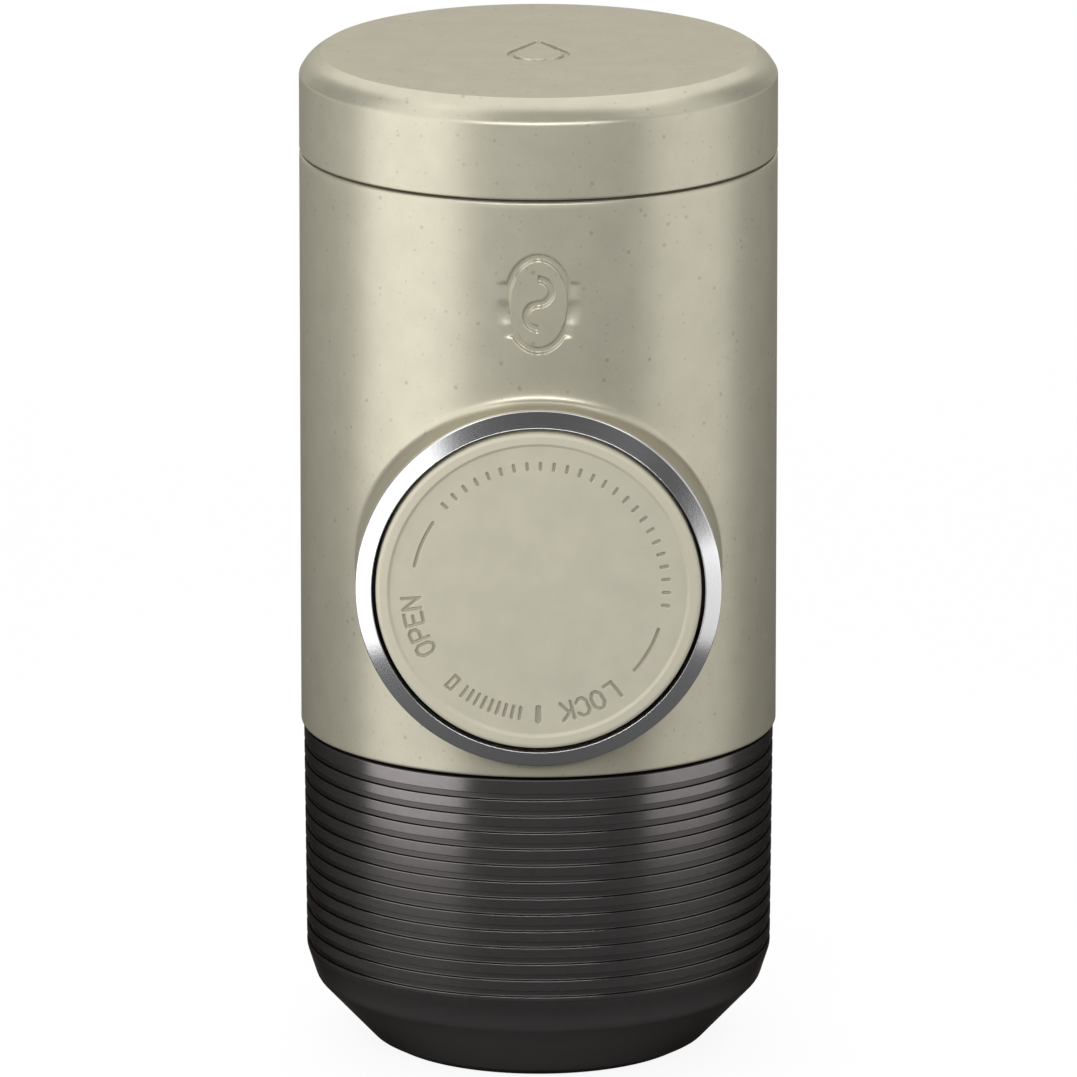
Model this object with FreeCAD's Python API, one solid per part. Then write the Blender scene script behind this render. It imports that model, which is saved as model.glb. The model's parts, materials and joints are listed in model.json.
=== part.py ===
import FreeCAD, Part

import math
import os

# Handheld manual espresso maker, in millimetres.
# The origin is the centre of the cup's flat base, +Z is up, and the dial faces -Y.

# Overall body
BODY_RADIUS = 31.0
BODY_LENGTH = 76.0
SHELL_WALL = 1.8
SEAM_GAP = 0.3
EDGE_ROUND = 0.3

# Water tank
TANK_COVER_HEIGHT = 12.8
TANK_BEVEL = 2.75
TANK_BEVEL_CROWN = 0.3
TANK_WALL = 1.9
TANK_END_WALL = 1.6
TANK_SEAL_SECTION = 0.7
TANK_SEAL_ABOVE_MOUTH = 5.0
SOCKET_WALL = 1.4
SOCKET_FLOOR = 2.6
SOCKET_BELOW_SHELL_TOP = 0.5
GASKET_THICKNESS = 1.2
VESSEL_FLANGE = 1.6

# Cup
CUP_FLOOR = 3.0
CUP_WALL = 2.2
CUP_RIM_STEP = 0.35
CUP_TAPER = 0.3
CUP_BASE_RADIUS = 20.0
CUP_SHOULDER_HEIGHT = 12.6
CUP_CHAMFER_TOP_INSET = 1.3
CUP_CHAMFER_TOP_HEIGHT = 8.6
CUP_CHAMFER_FOOT_HEIGHT = 1.0
CUP_CHAMFER_FOOT_OUTSET = 1.9
RIB_COUNT = 13
RIM_BAND = 1.4
RIB_GROOVE_WIDTH = 0.75
RIB_GROOVE_DEPTH = 0.5
CUP_SEAL_SECTION = 0.75
CUP_SEAL_BELOW_RIM = 1.7

# Capsule chamber and outlet head, stacked up from the cup's floor
NOZZLE_GAP = 3.8
NOZZLE_LENGTH = 5.2
NOZZLE_TIP_RADIUS = 3.4
NOZZLE_ROOT_RADIUS = 7.0
NOZZLE_BORE_RADIUS = 1.8
NOZZLE_SPIGOT_RADIUS = 3.0
HEAD_FLOOR = 2.4
HEAD_WALL = 2.3
PYRAMID_PLATE = 1.2
PYRAMID_HEIGHT = 0.7
PYRAMID_PITCH = 4.4
CAPSULE_RIM_SPACE = 2.3
CAPSULE_SEAL = 1.6
CAPSULE_DEPTH = 25.9
CAPSULE_TOP_RADIUS = 12.3
CAPSULE_MOUTH_RADIUS = 15.3
CAPSULE_RIM_WIDTH = 3.1
BELL_WALL = 1.6
BELL_FLANGE = 1.4
BELL_FLANGE_GAP = 0.8
NEEDLE_HEIGHT = 3.0
NEEDLE_RADIUS = 0.9
NEEDLE_CIRCLE_RADIUS = 5.0
NEEDLE_PLATE = 1.2
GRIP_HEIGHT = 6.0
GRIP_PROUD = 1.9
GRIP_NOTCHES = 24
HEAD_SEAL_SECTION = 0.7

# Brew base, which closes the body and carries the neck
BASE_PLATE = 2.4
BASE_FLANGE_DEPTH = 3.9
NECK_WALL = 2.5
NECK_BELOW_SHELL = 6.4
NECK_INSET = 1.9

# Threads
THREAD_STARTS = 3
THREAD_LEAD = 9.0
THREAD_SPAN_DEG = 60.0
THREAD_HEIGHT = 0.4
THREAD_ROOT_WIDTH = 1.4
THREAD_CREST_WIDTH = 0.7

# Dial, plunger and housing, along the dial's axis
DIAL_PROUD = 5.0
DIAL_RADIUS = 20.9
DIAL_THICKNESS = 4.0
DIAL_RECESS = 0.3
DIAL_RIM_WIDTH = 1.5
DIAL_GAP = 0.5
RING_WIDTH = 2.1
RING_DEPTH = 1.8
RING_SLOPE = 1.2
BOSS_BLEND = 1.4
BOSS_WALL = 0.9
PLATE_THICKNESS = 2.0
PLUNGER_RADIUS = 17.4
PLUNGER_WALL = 1.4
PLUNGER_WEB = 1.6
HOUSING_WALL = 1.5
STROKE = 22.0
TWIST_DEG = 42.0
LUG_LENGTH = 3.0
LUG_HALF_ANGLE_DEG = 5.0
SEAT_PLATE = 2.0

# Pump
ROD_RADIUS = 3.5
ROD_NOSE_RADIUS = 3.0
ROD_SHOULDER_RADIUS = 4.6
ROD_SHOULDER = 1.5
CLIP_THICKNESS = 0.8
CLIP_RADIUS = 5.0
PISTON_LENGTH = 6.0
CYLINDER_BORE_RADIUS = 6.5
CYLINDER_WALL = 2.0
CYLINDER_FLANGE_RADIUS = 12.0
CYLINDER_FLANGE = 2.0
END_CAP_FLANGE = 0.6
BARREL_PAST_DUCT = 0.3
BUSH_LENGTH = 3.0
SPRING_RADIUS = 11.2
SPRING_WIRE = 0.75
SPRING_TURNS = 8
WASHER_THICKNESS = 1.0
WASHER_RADIUS = 13.0
DUCT_RADIUS = 4.0
DUCT_BORE_RADIUS = 1.6
PORT_RADIUS = 1.2
VALVE_POCKET_RADIUS = 2.3
VALVE_LENGTH = 3.0
DUCT_INSET = 6.0
PUMP_BOSS_REACH = 2.8

# Fasteners and posts
POST_INSET = 7.1
POST_RADIUS = 2.6
POST_GAP = 0.9
SIDE_POST_ANGLE_DEG = 19.0
SCREW_RADIUS = 1.2
SCREW_HEAD_RADIUS = 2.2
SCREW_HEAD = 1.8
SCREW_BITE = 9.0
DIAL_SCREW_CIRCLE_RADIUS = 14.2
DIAL_SCREW_RADIUS = 0.8
DIAL_SCREW_HEAD_RADIUS = 1.4
DIAL_SCREW_HEAD = 0.9
DIAL_SCREW_BITE = 1.8

# Strainer and air valve in the tank's floor
STRAINER_RADIUS = 12.2
STRAINER_THICKNESS = 0.5
STRAINER_HOLE_RADIUS = 0.7
STRAINER_RINGS = 3
SUMP_DEPTH = 1.5
AIR_VALVE_CIRCLE_RADIUS = 16.0
AIR_VALVE_ANGLE_DEG = 150.0
AIR_VALVE_CAP_RADIUS = 2.2
AIR_VALVE_STEM_RADIUS = 1.3

# Engraved marks
MARK_DEPTH = 0.3
MARK_STROKE = 0.8
BEAN_WIDTH = 9.0
BEAN_HEIGHT = 13.0
BEAN_BELOW_SHELL_TOP = 13.3
DROP_RADIUS = 4.0
DROP_POINT = 8.5
TICK_COUNT = 9
TICK_FIRST_DEG = 8.3
TICK_STEP_DEG = 3.4
TICK_INNER_RADIUS = 15.7
TICK_LENGTH = 1.5
TICK_WIDTH = 0.35
LOCK_BAR_WIDTH = 0.8
SWEEP_ARC_DEG = 22.0
SWEEP_ARC_MIDDLES_DEG = (157.5, -29.5)

# Clearances
RUN_GAP = 0.4
SLIDE_GAP = 0.25
SHAFT_GAP = 0.08
SEAL_GAP = 0.15
STATIC_GAP = 0.1
STOP_GAP = 0.5
CUT = 1.0
EDGE_MATCH = 0.01

# Levels along Z, worked out from the cup's floor upwards
NOZZLE_TIP_Z = CUP_FLOOR + NOZZLE_GAP
HEAD_BOTTOM_Z = NOZZLE_TIP_Z + NOZZLE_LENGTH
HEAD_FLOOR_Z = HEAD_BOTTOM_Z + HEAD_FLOOR
PYRAMID_TOP_Z = HEAD_FLOOR_Z + PYRAMID_PLATE
SEAL_BOTTOM_Z = PYRAMID_TOP_Z + CAPSULE_RIM_SPACE
BELL_BOTTOM_Z = SEAL_BOTTOM_Z + CAPSULE_SEAL
BASE_PLATE_Z = BELL_BOTTOM_Z + CAPSULE_DEPTH + BELL_FLANGE
BASE_TOP_Z = BASE_PLATE_Z + BASE_PLATE
SHELL_BOTTOM_Z = BASE_PLATE_Z - BASE_FLANGE_DEPTH
SHELL_TOP_Z = SHELL_BOTTOM_Z + BODY_LENGTH
CUP_RIM_Z = SHELL_BOTTOM_Z - SEAM_GAP
NECK_END_Z = SHELL_BOTTOM_Z - NECK_BELOW_SHELL
COVER_BOTTOM_Z = SHELL_TOP_Z + SEAM_GAP
TOP_Z = COVER_BOTTOM_Z + TANK_COVER_HEIGHT

# Radii
SHELL_INNER = BODY_RADIUS - SHELL_WALL
INSERT_RADIUS = SHELL_INNER - STATIC_GAP
NECK_OUTER = SHELL_INNER - NECK_INSET
NECK_INNER = NECK_OUTER - NECK_WALL
CUP_BORE_RADIUS = NECK_OUTER + THREAD_HEIGHT + SLIDE_GAP
CUP_RIM_RADIUS = BODY_RADIUS - CUP_RIM_STEP
HEAD_OUTER = NECK_INNER - THREAD_HEIGHT - SLIDE_GAP
HEAD_INNER = HEAD_OUTER - HEAD_WALL
SOCKET_BORE_RADIUS = INSERT_RADIUS - SOCKET_WALL
VESSEL_OUTER = SOCKET_BORE_RADIUS - THREAD_HEIGHT - SLIDE_GAP
VESSEL_INNER = VESSEL_OUTER - TANK_WALL
HOUSING_BORE_RADIUS = PLUNGER_RADIUS + SLIDE_GAP
HOUSING_OUTER = HOUSING_BORE_RADIUS + HOUSING_WALL
RING_INNER = DIAL_RADIUS + DIAL_GAP
RING_OUTER = RING_INNER + RING_WIDTH
BOSS_BORE_RADIUS = RING_OUTER - BOSS_WALL
CYLINDER_OUTER = CYLINDER_BORE_RADIUS + CYLINDER_WALL
POST_CIRCLE_RADIUS = INSERT_RADIUS - POST_INSET
CAPSULE_RIM_RADIUS = CAPSULE_MOUTH_RADIUS + CAPSULE_RIM_WIDTH
BELL_FLANGE_RADIUS = POST_CIRCLE_RADIUS - SCREW_HEAD_RADIUS - BELL_FLANGE_GAP

# The dial's axis sits just above the brew base, and the tank's floor just above the housing.
KNOB_Z = BASE_TOP_Z + RUN_GAP + SLIDE_GAP + HOUSING_OUTER
SOCKET_FLOOR_Z = KNOB_Z + HOUSING_OUTER + RUN_GAP
SOCKET_TOP_Z = SHELL_TOP_Z - SOCKET_BELOW_SHELL_TOP
GASKET_Z = SOCKET_FLOOR_Z + SOCKET_FLOOR
VESSEL_MOUTH_Z = GASKET_Z + GASKET_THICKNESS + RUN_GAP

# Places along Y, from the dial's face backwards
DIAL_FACE_Y = -(BODY_RADIUS + DIAL_PROUD)
DIAL_BACK_Y = DIAL_FACE_Y + DIAL_THICKNESS
RING_BACK_Y = DIAL_FACE_Y + RING_DEPTH
PLATE_FRONT_Y = DIAL_BACK_Y + RUN_GAP
PLATE_BACK_Y = PLATE_FRONT_Y + PLATE_THICKNESS
WEB_BACK_Y = DIAL_BACK_Y + PLUNGER_WEB
SHOULDER_Y = WEB_BACK_Y + SLIDE_GAP
WASHER_Y = SHOULDER_Y + ROD_SHOULDER
SPRING_FRONT_Y = WASHER_Y + WASHER_THICKNESS
PLUNGER_REAR_Y = PLATE_BACK_Y + STOP_GAP + STROKE + LUG_LENGTH
SEAT_FRONT_Y = PLUNGER_REAR_Y + RUN_GAP
SEAT_BACK_Y = SEAT_FRONT_Y + SEAT_PLATE

# Places along Y, from the shell's rear wall forwards
DUCT_Y = SHELL_INNER - DUCT_INSET
CYLINDER_REAR_Y = DUCT_Y + PORT_RADIUS + RUN_GAP
BARREL_END_Y = DUCT_Y + DUCT_RADIUS + BARREL_PAST_DUCT
PISTON_REAR_Y = DUCT_Y - PORT_RADIUS - 2 * STOP_GAP
PISTON_FRONT_Y = PISTON_REAR_Y - PISTON_LENGTH
BUSH_REAR_Y = PISTON_FRONT_Y - STROKE - 2 * STOP_GAP
CYLINDER_FRONT_Y = BUSH_REAR_Y - BUSH_LENGTH

V = FreeCAD.Vector
UP = V(0, 0, 1)
BACK = V(0, 1, 0)
KNOB_CENTRE = V(0, 0, KNOB_Z)


# Basic shapes
def disc(radius, low, high, x=0.0, y=0.0):
    """A cylinder that stands along Z."""
    return Part.makeCylinder(radius, high - low, V(x, y, low))


def tube(outer, inner, low, high, x=0.0, y=0.0):
    """A pipe that stands along Z."""
    return disc(outer, low, high, x, y).cut(disc(inner, low - CUT, high + CUT, x, y))


def knob_disc(radius, front, back, x=0.0, z=0.0):
    """A cylinder along Y, placed from the dial's axis."""
    return Part.makeCylinder(radius, back - front, V(x, front, KNOB_Z + z), BACK)


def knob_tube(outer, inner, front, back):
    """A pipe along the dial's axis."""
    return knob_disc(outer, front, back).cut(knob_disc(inner, front - CUT, back + CUT))


def turned(points):
    """A solid of revolution about Z, from (radius, z) corners."""
    wire = Part.makePolygon([V(r, 0, z) for r, z in points + points[:1]])
    return Part.Face(wire).revolve(V(0, 0, 0), UP, 360)


def turned_on_knob(points):
    """A solid of revolution about the dial's axis, from (radius, y) corners."""
    wire = Part.makePolygon([V(r, y, KNOB_Z) for r, y in points + points[:1]])
    return Part.Face(wire).revolve(KNOB_CENTRE, BACK, 360)


def ring_seal(radius, section, z):
    """An O-ring about Z."""
    return Part.makeTorus(radius, section, V(0, 0, z))


def joined(first, others):
    """One solid from several that overlap or share a face."""
    return first.multiFuse(others).removeSplitter()


def without(solid, tools):
    """The solid with every tool cut out of it."""
    return solid.cut(Part.makeCompound(tools))


def rounded(solid, radius, spots):
    """The solid with its circular edges at the given (radius, height) spots rounded."""

    def wanted(edge):
        box = edge.BoundBox
        if box.ZLength > EDGE_MATCH:
            return False
        return any(
            abs(box.XMax - r) < EDGE_MATCH and abs(box.ZMax - z) < EDGE_MATCH
            for r, z in spots
        )

    return solid.makeFillet(radius, [e for e in solid.Edges if wanted(e)])


def polar(radius, degrees):
    """(x, y) at a radius and an angle."""
    angle = math.radians(degrees)
    return radius * math.cos(angle), radius * math.sin(angle)


def thread_ridges(radius, bottom):
    """Raised thread starts round a neck of that radius, with their roots sunk in it."""
    rise = THREAD_LEAD * THREAD_SPAN_DEG / 360.0
    spine = Part.Wire(Part.makeHelix(THREAD_LEAD, rise, radius).Edges)
    root, crest = THREAD_ROOT_WIDTH / 2, THREAD_CREST_WIDTH / 2
    sunk, proud = radius - THREAD_HEIGHT, radius + THREAD_HEIGHT
    corners = [
        V(sunk, 0, -root),
        V(radius, 0, -root),
        V(proud, 0, -crest),
        V(proud, 0, crest),
        V(radius, 0, root),
        V(sunk, 0, root),
    ]
    ridge = spine.makePipeShell([Part.makePolygon(corners + corners[:1])], True, True)
    ridge.translate(V(0, 0, bottom + root))
    ridges = []
    for start in range(THREAD_STARTS):
        one = ridge.copy()
        one.rotate(V(0, 0, 0), UP, 360.0 * start / THREAD_STARTS)
        ridges.append(one)
    return ridges


def thread_height():
    """How much of a neck the thread ridges take up."""
    return THREAD_LEAD * THREAD_SPAN_DEG / 360.0 + THREAD_ROOT_WIDTH


# Engraved marks
def bean_mark():
    """A coffee bean in outline with its crease, as a cutter that lies in the shell's skin."""
    middle = V(0, 0, SHELL_TOP_Z - BEAN_BELOW_SHELL_TOP)

    def standing(shrink):
        shape = Part.Ellipse(V(0, 0, 0), BEAN_HEIGHT / 2 - shrink, BEAN_WIDTH / 2 - shrink)
        face = Part.Face(Part.Wire(shape.toShape()))
        face.rotate(V(0, 0, 0), UP, 90)
        face.rotate(V(0, 0, 0), V(1, 0, 0), 90)
        face.translate(middle - V(0, BODY_RADIUS + CUT, 0))
        return face.extrude(V(0, BODY_RADIUS, 0))

    outline = standing(0).cut(standing(MARK_STROKE))
    half = MARK_STROKE / 2
    reach = BEAN_HEIGHT / 4
    crease = []
    for side in (-1, 1):
        # each half of the crease is a half ring, and the two make an S
        ring = Part.makeCylinder(reach / 2 + half, BODY_RADIUS, V(0, 0, 0), BACK)
        ring = ring.cut(Part.makeCylinder(reach / 2 - half, BODY_RADIUS, V(0, 0, 0), BACK))
        keep = Part.makeBox(BEAN_WIDTH, BODY_RADIUS, BEAN_HEIGHT)
        keep.translate(V(0 if side > 0 else -BEAN_WIDTH, 0, -BEAN_HEIGHT / 2))
        bend = ring.common(keep)
        bend.translate(middle + V(0, -BODY_RADIUS - CUT, side * reach / 2))
        crease.append(bend)
    skin = tube(
        BODY_RADIUS + CUT,
        BODY_RADIUS - MARK_DEPTH,
        middle.z - BEAN_HEIGHT,
        middle.z + BEAN_HEIGHT,
    )
    return [shape.common(skin) for shape in [outline] + crease]


def drop_mark():
    """A water drop in outline, as a cutter that lies in the tank cover's top."""

    def drop(shrink):
        radius = DROP_RADIUS - shrink
        point = DROP_POINT - shrink / math.sin(math.asin(DROP_RADIUS / DROP_POINT))
        side = math.acos(radius / point)
        touch = V(radius * math.sin(side), radius * math.cos(side), 0)
        other = V(-touch.x, touch.y, 0)
        wire = Part.Wire(
            [
                Part.LineSegment(V(0, point, 0), touch).toShape(),
                Part.Arc(touch, V(0, -radius, 0), other).toShape(),
                Part.LineSegment(other, V(0, point, 0)).toShape(),
            ]
        )
        return Part.Face(wire).extrude(V(0, 0, MARK_DEPTH + CUT))

    mark = drop(0).cut(drop(MARK_STROKE))
    mark.translate(V(0, (DROP_RADIUS - DROP_POINT) / 2, TOP_Z - MARK_DEPTH))
    return mark


def dial_marks():
    """The dial's lock scale and its two sweep arcs, as cutters in the dial's face."""
    top = DIAL_FACE_Y + DIAL_RECESS + MARK_DEPTH
    outer = TICK_INNER_RADIUS + TICK_LENGTH

    def bar(width, degrees, inner, reach):
        # degrees are counted from straight down, clockwise as the dial is read
        box = Part.makeBox(width, DIAL_RECESS + MARK_DEPTH + CUT, reach - inner)
        box.translate(V(-width / 2, DIAL_FACE_Y - CUT, KNOB_Z - reach))
        box.rotate(KNOB_CENTRE, BACK, degrees)
        return box

    marks = [
        bar(TICK_WIDTH, TICK_FIRST_DEG + TICK_STEP_DEG * k, TICK_INNER_RADIUS, outer)
        for k in range(TICK_COUNT)
    ]
    marks.append(bar(LOCK_BAR_WIDTH, 0, TICK_INNER_RADIUS, outer + TICK_WIDTH))
    frame = bar(LOCK_BAR_WIDTH, TWIST_DEG, TICK_INNER_RADIUS, outer + TICK_WIDTH)
    marks.append(frame)
    middle = (TICK_INNER_RADIUS + outer) / 2
    for degrees in SWEEP_ARC_MIDDLES_DEG:
        band = knob_tube(
            middle + TICK_WIDTH / 2, middle - TICK_WIDTH / 2, DIAL_FACE_Y - CUT, top
        )
        wedge = sector(middle + CUT, DIAL_FACE_Y - CUT, top, SWEEP_ARC_DEG)
        wedge.rotate(KNOB_CENTRE, BACK, -degrees)
        marks.append(band.common(wedge))
    return marks


def sector(radius, front, back, span):
    """A wedge of a disc on the dial's axis, centred on +X, span degrees wide."""
    wedge = Part.makeCylinder(radius, back - front, V(0, 0, 0), UP, span)
    wedge.rotate(V(0, 0, 0), UP, -span / 2)
    wedge.rotate(V(0, 0, 0), V(1, 0, 0), -90)
    wedge.translate(V(0, front, KNOB_Z))
    return wedge


# Body
def body_shell():
    """The outer casing: a tube with a boss for the dial, blended in, and an engraved bean."""
    casing = disc(BODY_RADIUS, SHELL_BOTTOM_Z, SHELL_TOP_Z)
    boss = knob_disc(RING_OUTER, RING_BACK_Y, 0)
    solid = casing.fuse(boss).removeSplitter()
    seam = [e for e in solid.Edges if e.BoundBox.YLength > CUT and e.BoundBox.ZLength > CUT]
    seam = [e for e in seam if not isinstance(e.Curve, (Part.Line, Part.Circle))]
    solid = solid.makeFillet(BOSS_BLEND, seam)
    ends = [(BODY_RADIUS, SHELL_BOTTOM_Z), (BODY_RADIUS, SHELL_TOP_Z)]
    solid = rounded(solid, EDGE_ROUND, ends)
    hollow = disc(SHELL_INNER, SHELL_BOTTOM_Z - CUT, SHELL_TOP_Z + CUT)
    return without(solid, [hollow, knob_disc(BOSS_BORE_RADIUS, RING_BACK_Y - CUT, 0)] + bean_mark())


def chrome_ring():
    """The bright bezel that caps the boss, with a sloping face."""
    lip = EDGE_ROUND
    return turned_on_knob(
        [
            (RING_INNER, RING_BACK_Y),
            (RING_OUTER, RING_BACK_Y),
            (RING_OUTER, DIAL_FACE_Y + RING_SLOPE + lip),
            (RING_OUTER - lip, DIAL_FACE_Y + RING_SLOPE),
            (RING_INNER + lip, DIAL_FACE_Y),
            (RING_INNER, DIAL_FACE_Y + lip),
        ]
    )


def piston_housing():
    """The dial's well and the sleeve that guides the plunger, with a window for each lug."""
    well = BOSS_BORE_RADIUS - STATIC_GAP
    solid = joined(
        knob_tube(well, HOUSING_BORE_RADIUS, PLATE_FRONT_Y, PLATE_BACK_Y),
        [
            knob_tube(well, RING_INNER, RING_BACK_Y, PLATE_FRONT_Y),
            knob_tube(HOUSING_OUTER, HOUSING_BORE_RADIUS, PLATE_BACK_Y, SEAT_FRONT_Y),
        ],
    )
    span = TWIST_DEG + 2 * LUG_HALF_ANGLE_DEG + 2
    windows = []
    for side in (0, 180):
        window = sector(HOUSING_OUTER + CUT, PLATE_BACK_Y, SEAT_FRONT_Y + CUT, span)
        window.rotate(KNOB_CENTRE, BACK, side - TWIST_DEG / 2)
        windows.append(window)
    return without(solid, windows)


def spring_seat():
    """The plate behind the housing that the return spring pushes against."""
    return knob_tube(HOUSING_OUTER, CYLINDER_OUTER + STATIC_GAP, SEAT_FRONT_Y, SEAT_BACK_Y)


# Tank socket and what is in its floor
def post_places():
    """(x, y) of each frame post: two beside the pump's barrel, and two further round."""
    beside = CYLINDER_OUTER + POST_RADIUS + POST_GAP
    behind = math.sqrt(POST_CIRCLE_RADIUS**2 - beside**2)
    side_x, side_y = polar(POST_CIRCLE_RADIUS, SIDE_POST_ANGLE_DEG)
    return [(side_x, side_y), (beside, behind), (-beside, behind), (-side_x, side_y)]


def tank_socket():
    """The socket that the tank screws into, with its floor, inlet duct and frame posts."""
    floor = disc(INSERT_RADIUS, SOCKET_FLOOR_Z, GASKET_Z)
    wall = tube(INSERT_RADIUS, SOCKET_BORE_RADIUS, GASKET_Z, SOCKET_TOP_Z)
    duct = disc(DUCT_RADIUS, pump_boss_top(), SOCKET_FLOOR_Z, 0, DUCT_Y)
    posts = [disc(POST_RADIUS, BASE_TOP_Z, SOCKET_FLOOR_Z, x, y) for x, y in post_places()]
    solid = joined(floor, [wall, duct] + posts)
    sump = disc(STRAINER_RADIUS + STATIC_GAP, GASKET_Z - SUMP_DEPTH, GASKET_Z + CUT)
    channel = Part.makeBox(2 * DUCT_BORE_RADIUS, DUCT_Y, SUMP_DEPTH + CUT)
    channel.translate(V(-DUCT_BORE_RADIUS, 0, GASKET_Z - SUMP_DEPTH))
    bore = disc(DUCT_BORE_RADIUS, pump_boss_top() - CUT, GASKET_Z + CUT, 0, DUCT_Y)
    air_x, air_y = polar(AIR_VALVE_CIRCLE_RADIUS, AIR_VALVE_ANGLE_DEG)
    vent = disc(AIR_VALVE_STEM_RADIUS + STATIC_GAP, SOCKET_FLOOR_Z - CUT, GASKET_Z + CUT, air_x, air_y)
    screw_holes = [
        disc(SCREW_RADIUS + SHAFT_GAP, BASE_TOP_Z - CUT, screw_tip() + RUN_GAP, x, y)
        for x, y in post_places()
    ]
    return without(solid, [sump, channel, bore, vent] + screw_holes)


def tank_gasket():
    """The flat rubber ring under the tank's mouth."""
    outer, inner = SOCKET_BORE_RADIUS - STATIC_GAP, VESSEL_INNER + RUN_GAP
    return tube(outer, inner, GASKET_Z, GASKET_Z + GASKET_THICKNESS)


def strainer():
    """The perforated steel disc over the sump, on its own short legs."""
    low = GASKET_Z - STRAINER_THICKNESS
    plate = disc(STRAINER_RADIUS, low, GASKET_Z)
    legs_at = STRAINER_RADIUS - 2 * DUCT_BORE_RADIUS
    legs = [
        disc(DUCT_BORE_RADIUS, GASKET_Z - SUMP_DEPTH, low, *polar(legs_at, angle))
        for angle in (45, 135, 225, 315)
    ]
    holes = [disc(STRAINER_HOLE_RADIUS, low - CUT, GASKET_Z + CUT)]
    ring_step = (STRAINER_RADIUS - 2 * DUCT_BORE_RADIUS) / (STRAINER_RINGS + 1)
    for ring in range(1, STRAINER_RINGS + 1):
        for k in range(6 * ring):
            spot = polar(ring * ring_step, 60.0 * k / ring)
            holes.append(disc(STRAINER_HOLE_RADIUS, low - CUT, GASKET_Z + CUT, *spot))
    return without(joined(plate, legs), holes)


def air_valve():
    """The rubber mushroom that lets air into the tank as the water leaves."""
    x, y = polar(AIR_VALVE_CIRCLE_RADIUS, AIR_VALVE_ANGLE_DEG)
    cap = disc(AIR_VALVE_CAP_RADIUS, GASKET_Z, GASKET_Z + AIR_VALVE_STEM_RADIUS, x, y)
    stem = disc(AIR_VALVE_STEM_RADIUS, SOCKET_FLOOR_Z - AIR_VALVE_STEM_RADIUS, GASKET_Z, x, y)
    bulb = disc(
        AIR_VALVE_STEM_RADIUS + RUN_GAP,
        SOCKET_FLOOR_Z - 2 * AIR_VALVE_STEM_RADIUS,
        SOCKET_FLOOR_Z - STATIC_GAP,
        x,
        y,
    )
    return joined(cap, [stem, bulb])


# Pump
def pump_boss_top():
    """The level where the inlet duct meets the pump."""
    return KNOB_Z + CYLINDER_OUTER + PUMP_BOSS_REACH


def pump_boss_bottom():
    """The level where the outlet duct meets the pump."""
    return KNOB_Z - CYLINDER_OUTER - PUMP_BOSS_REACH


def pump_cylinder():
    """The pump's barrel, with a flange, and a valve boss above and below its rear end."""
    barrel = knob_disc(CYLINDER_OUTER, CYLINDER_FRONT_Y, BARREL_END_Y)
    flange = knob_disc(CYLINDER_FLANGE_RADIUS, SEAT_BACK_Y, SEAT_BACK_Y + CYLINDER_FLANGE)
    bosses = disc(DUCT_RADIUS, pump_boss_bottom(), pump_boss_top(), 0, DUCT_Y)
    solid = joined(barrel, [flange, bosses])
    pocket = VALVE_LENGTH + STATIC_GAP
    return without(
        solid,
        [
            knob_disc(CYLINDER_BORE_RADIUS, CYLINDER_FRONT_Y - CUT, BARREL_END_Y + CUT),
            disc(PORT_RADIUS, pump_boss_bottom() - CUT, pump_boss_top() + CUT, 0, DUCT_Y),
            disc(VALVE_POCKET_RADIUS, pump_boss_top() - pocket, pump_boss_top() + CUT, 0, DUCT_Y),
            disc(VALVE_POCKET_RADIUS, pump_boss_bottom() - CUT, pump_boss_bottom() + pocket, 0, DUCT_Y),
        ],
    )


def pump_end_cap():
    """The plug that closes the barrel's rear end, with a thin flange on the barrel's edge."""
    plug = CYLINDER_BORE_RADIUS - STATIC_GAP
    flange = CYLINDER_BORE_RADIUS + END_CAP_FLANGE
    return turned_on_knob(
        [
            (0, CYLINDER_REAR_Y),
            (plug, CYLINDER_REAR_Y),
            (plug, BARREL_END_Y),
            (flange, BARREL_END_Y),
            (flange, BARREL_END_Y + END_CAP_FLANGE),
            (0, BARREL_END_Y + END_CAP_FLANGE),
        ]
    )


def valve(mouth_z, direction):
    """A rubber duckbill: a collar in its pocket, and a bill that narrows the way the water goes."""
    collar = VALVE_POCKET_RADIUS - STATIC_GAP
    bill = PORT_RADIUS / 2
    rise = direction * VALVE_LENGTH
    solid = turned(
        [
            (bill / 2, mouth_z),
            (collar, mouth_z),
            (collar, mouth_z + rise / 3),
            (PORT_RADIUS, mouth_z + rise / 3),
            (bill, mouth_z + rise),
            (bill / 2, mouth_z + rise),
        ]
    )
    solid.translate(V(0, DUCT_Y, 0))
    return solid


def inlet_valve():
    """Lets water from the tank into the pump."""
    return valve(pump_boss_top(), -1)


def outlet_valve():
    """Lets water from the pump to the capsule."""
    return valve(pump_boss_bottom() + VALVE_LENGTH, -1)


def rod_bush():
    """The bush that guides the rod at the barrel's front end."""
    return knob_tube(
        CYLINDER_BORE_RADIUS - STATIC_GAP, ROD_RADIUS + SHAFT_GAP, CYLINDER_FRONT_Y, BUSH_REAR_Y
    )


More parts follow.
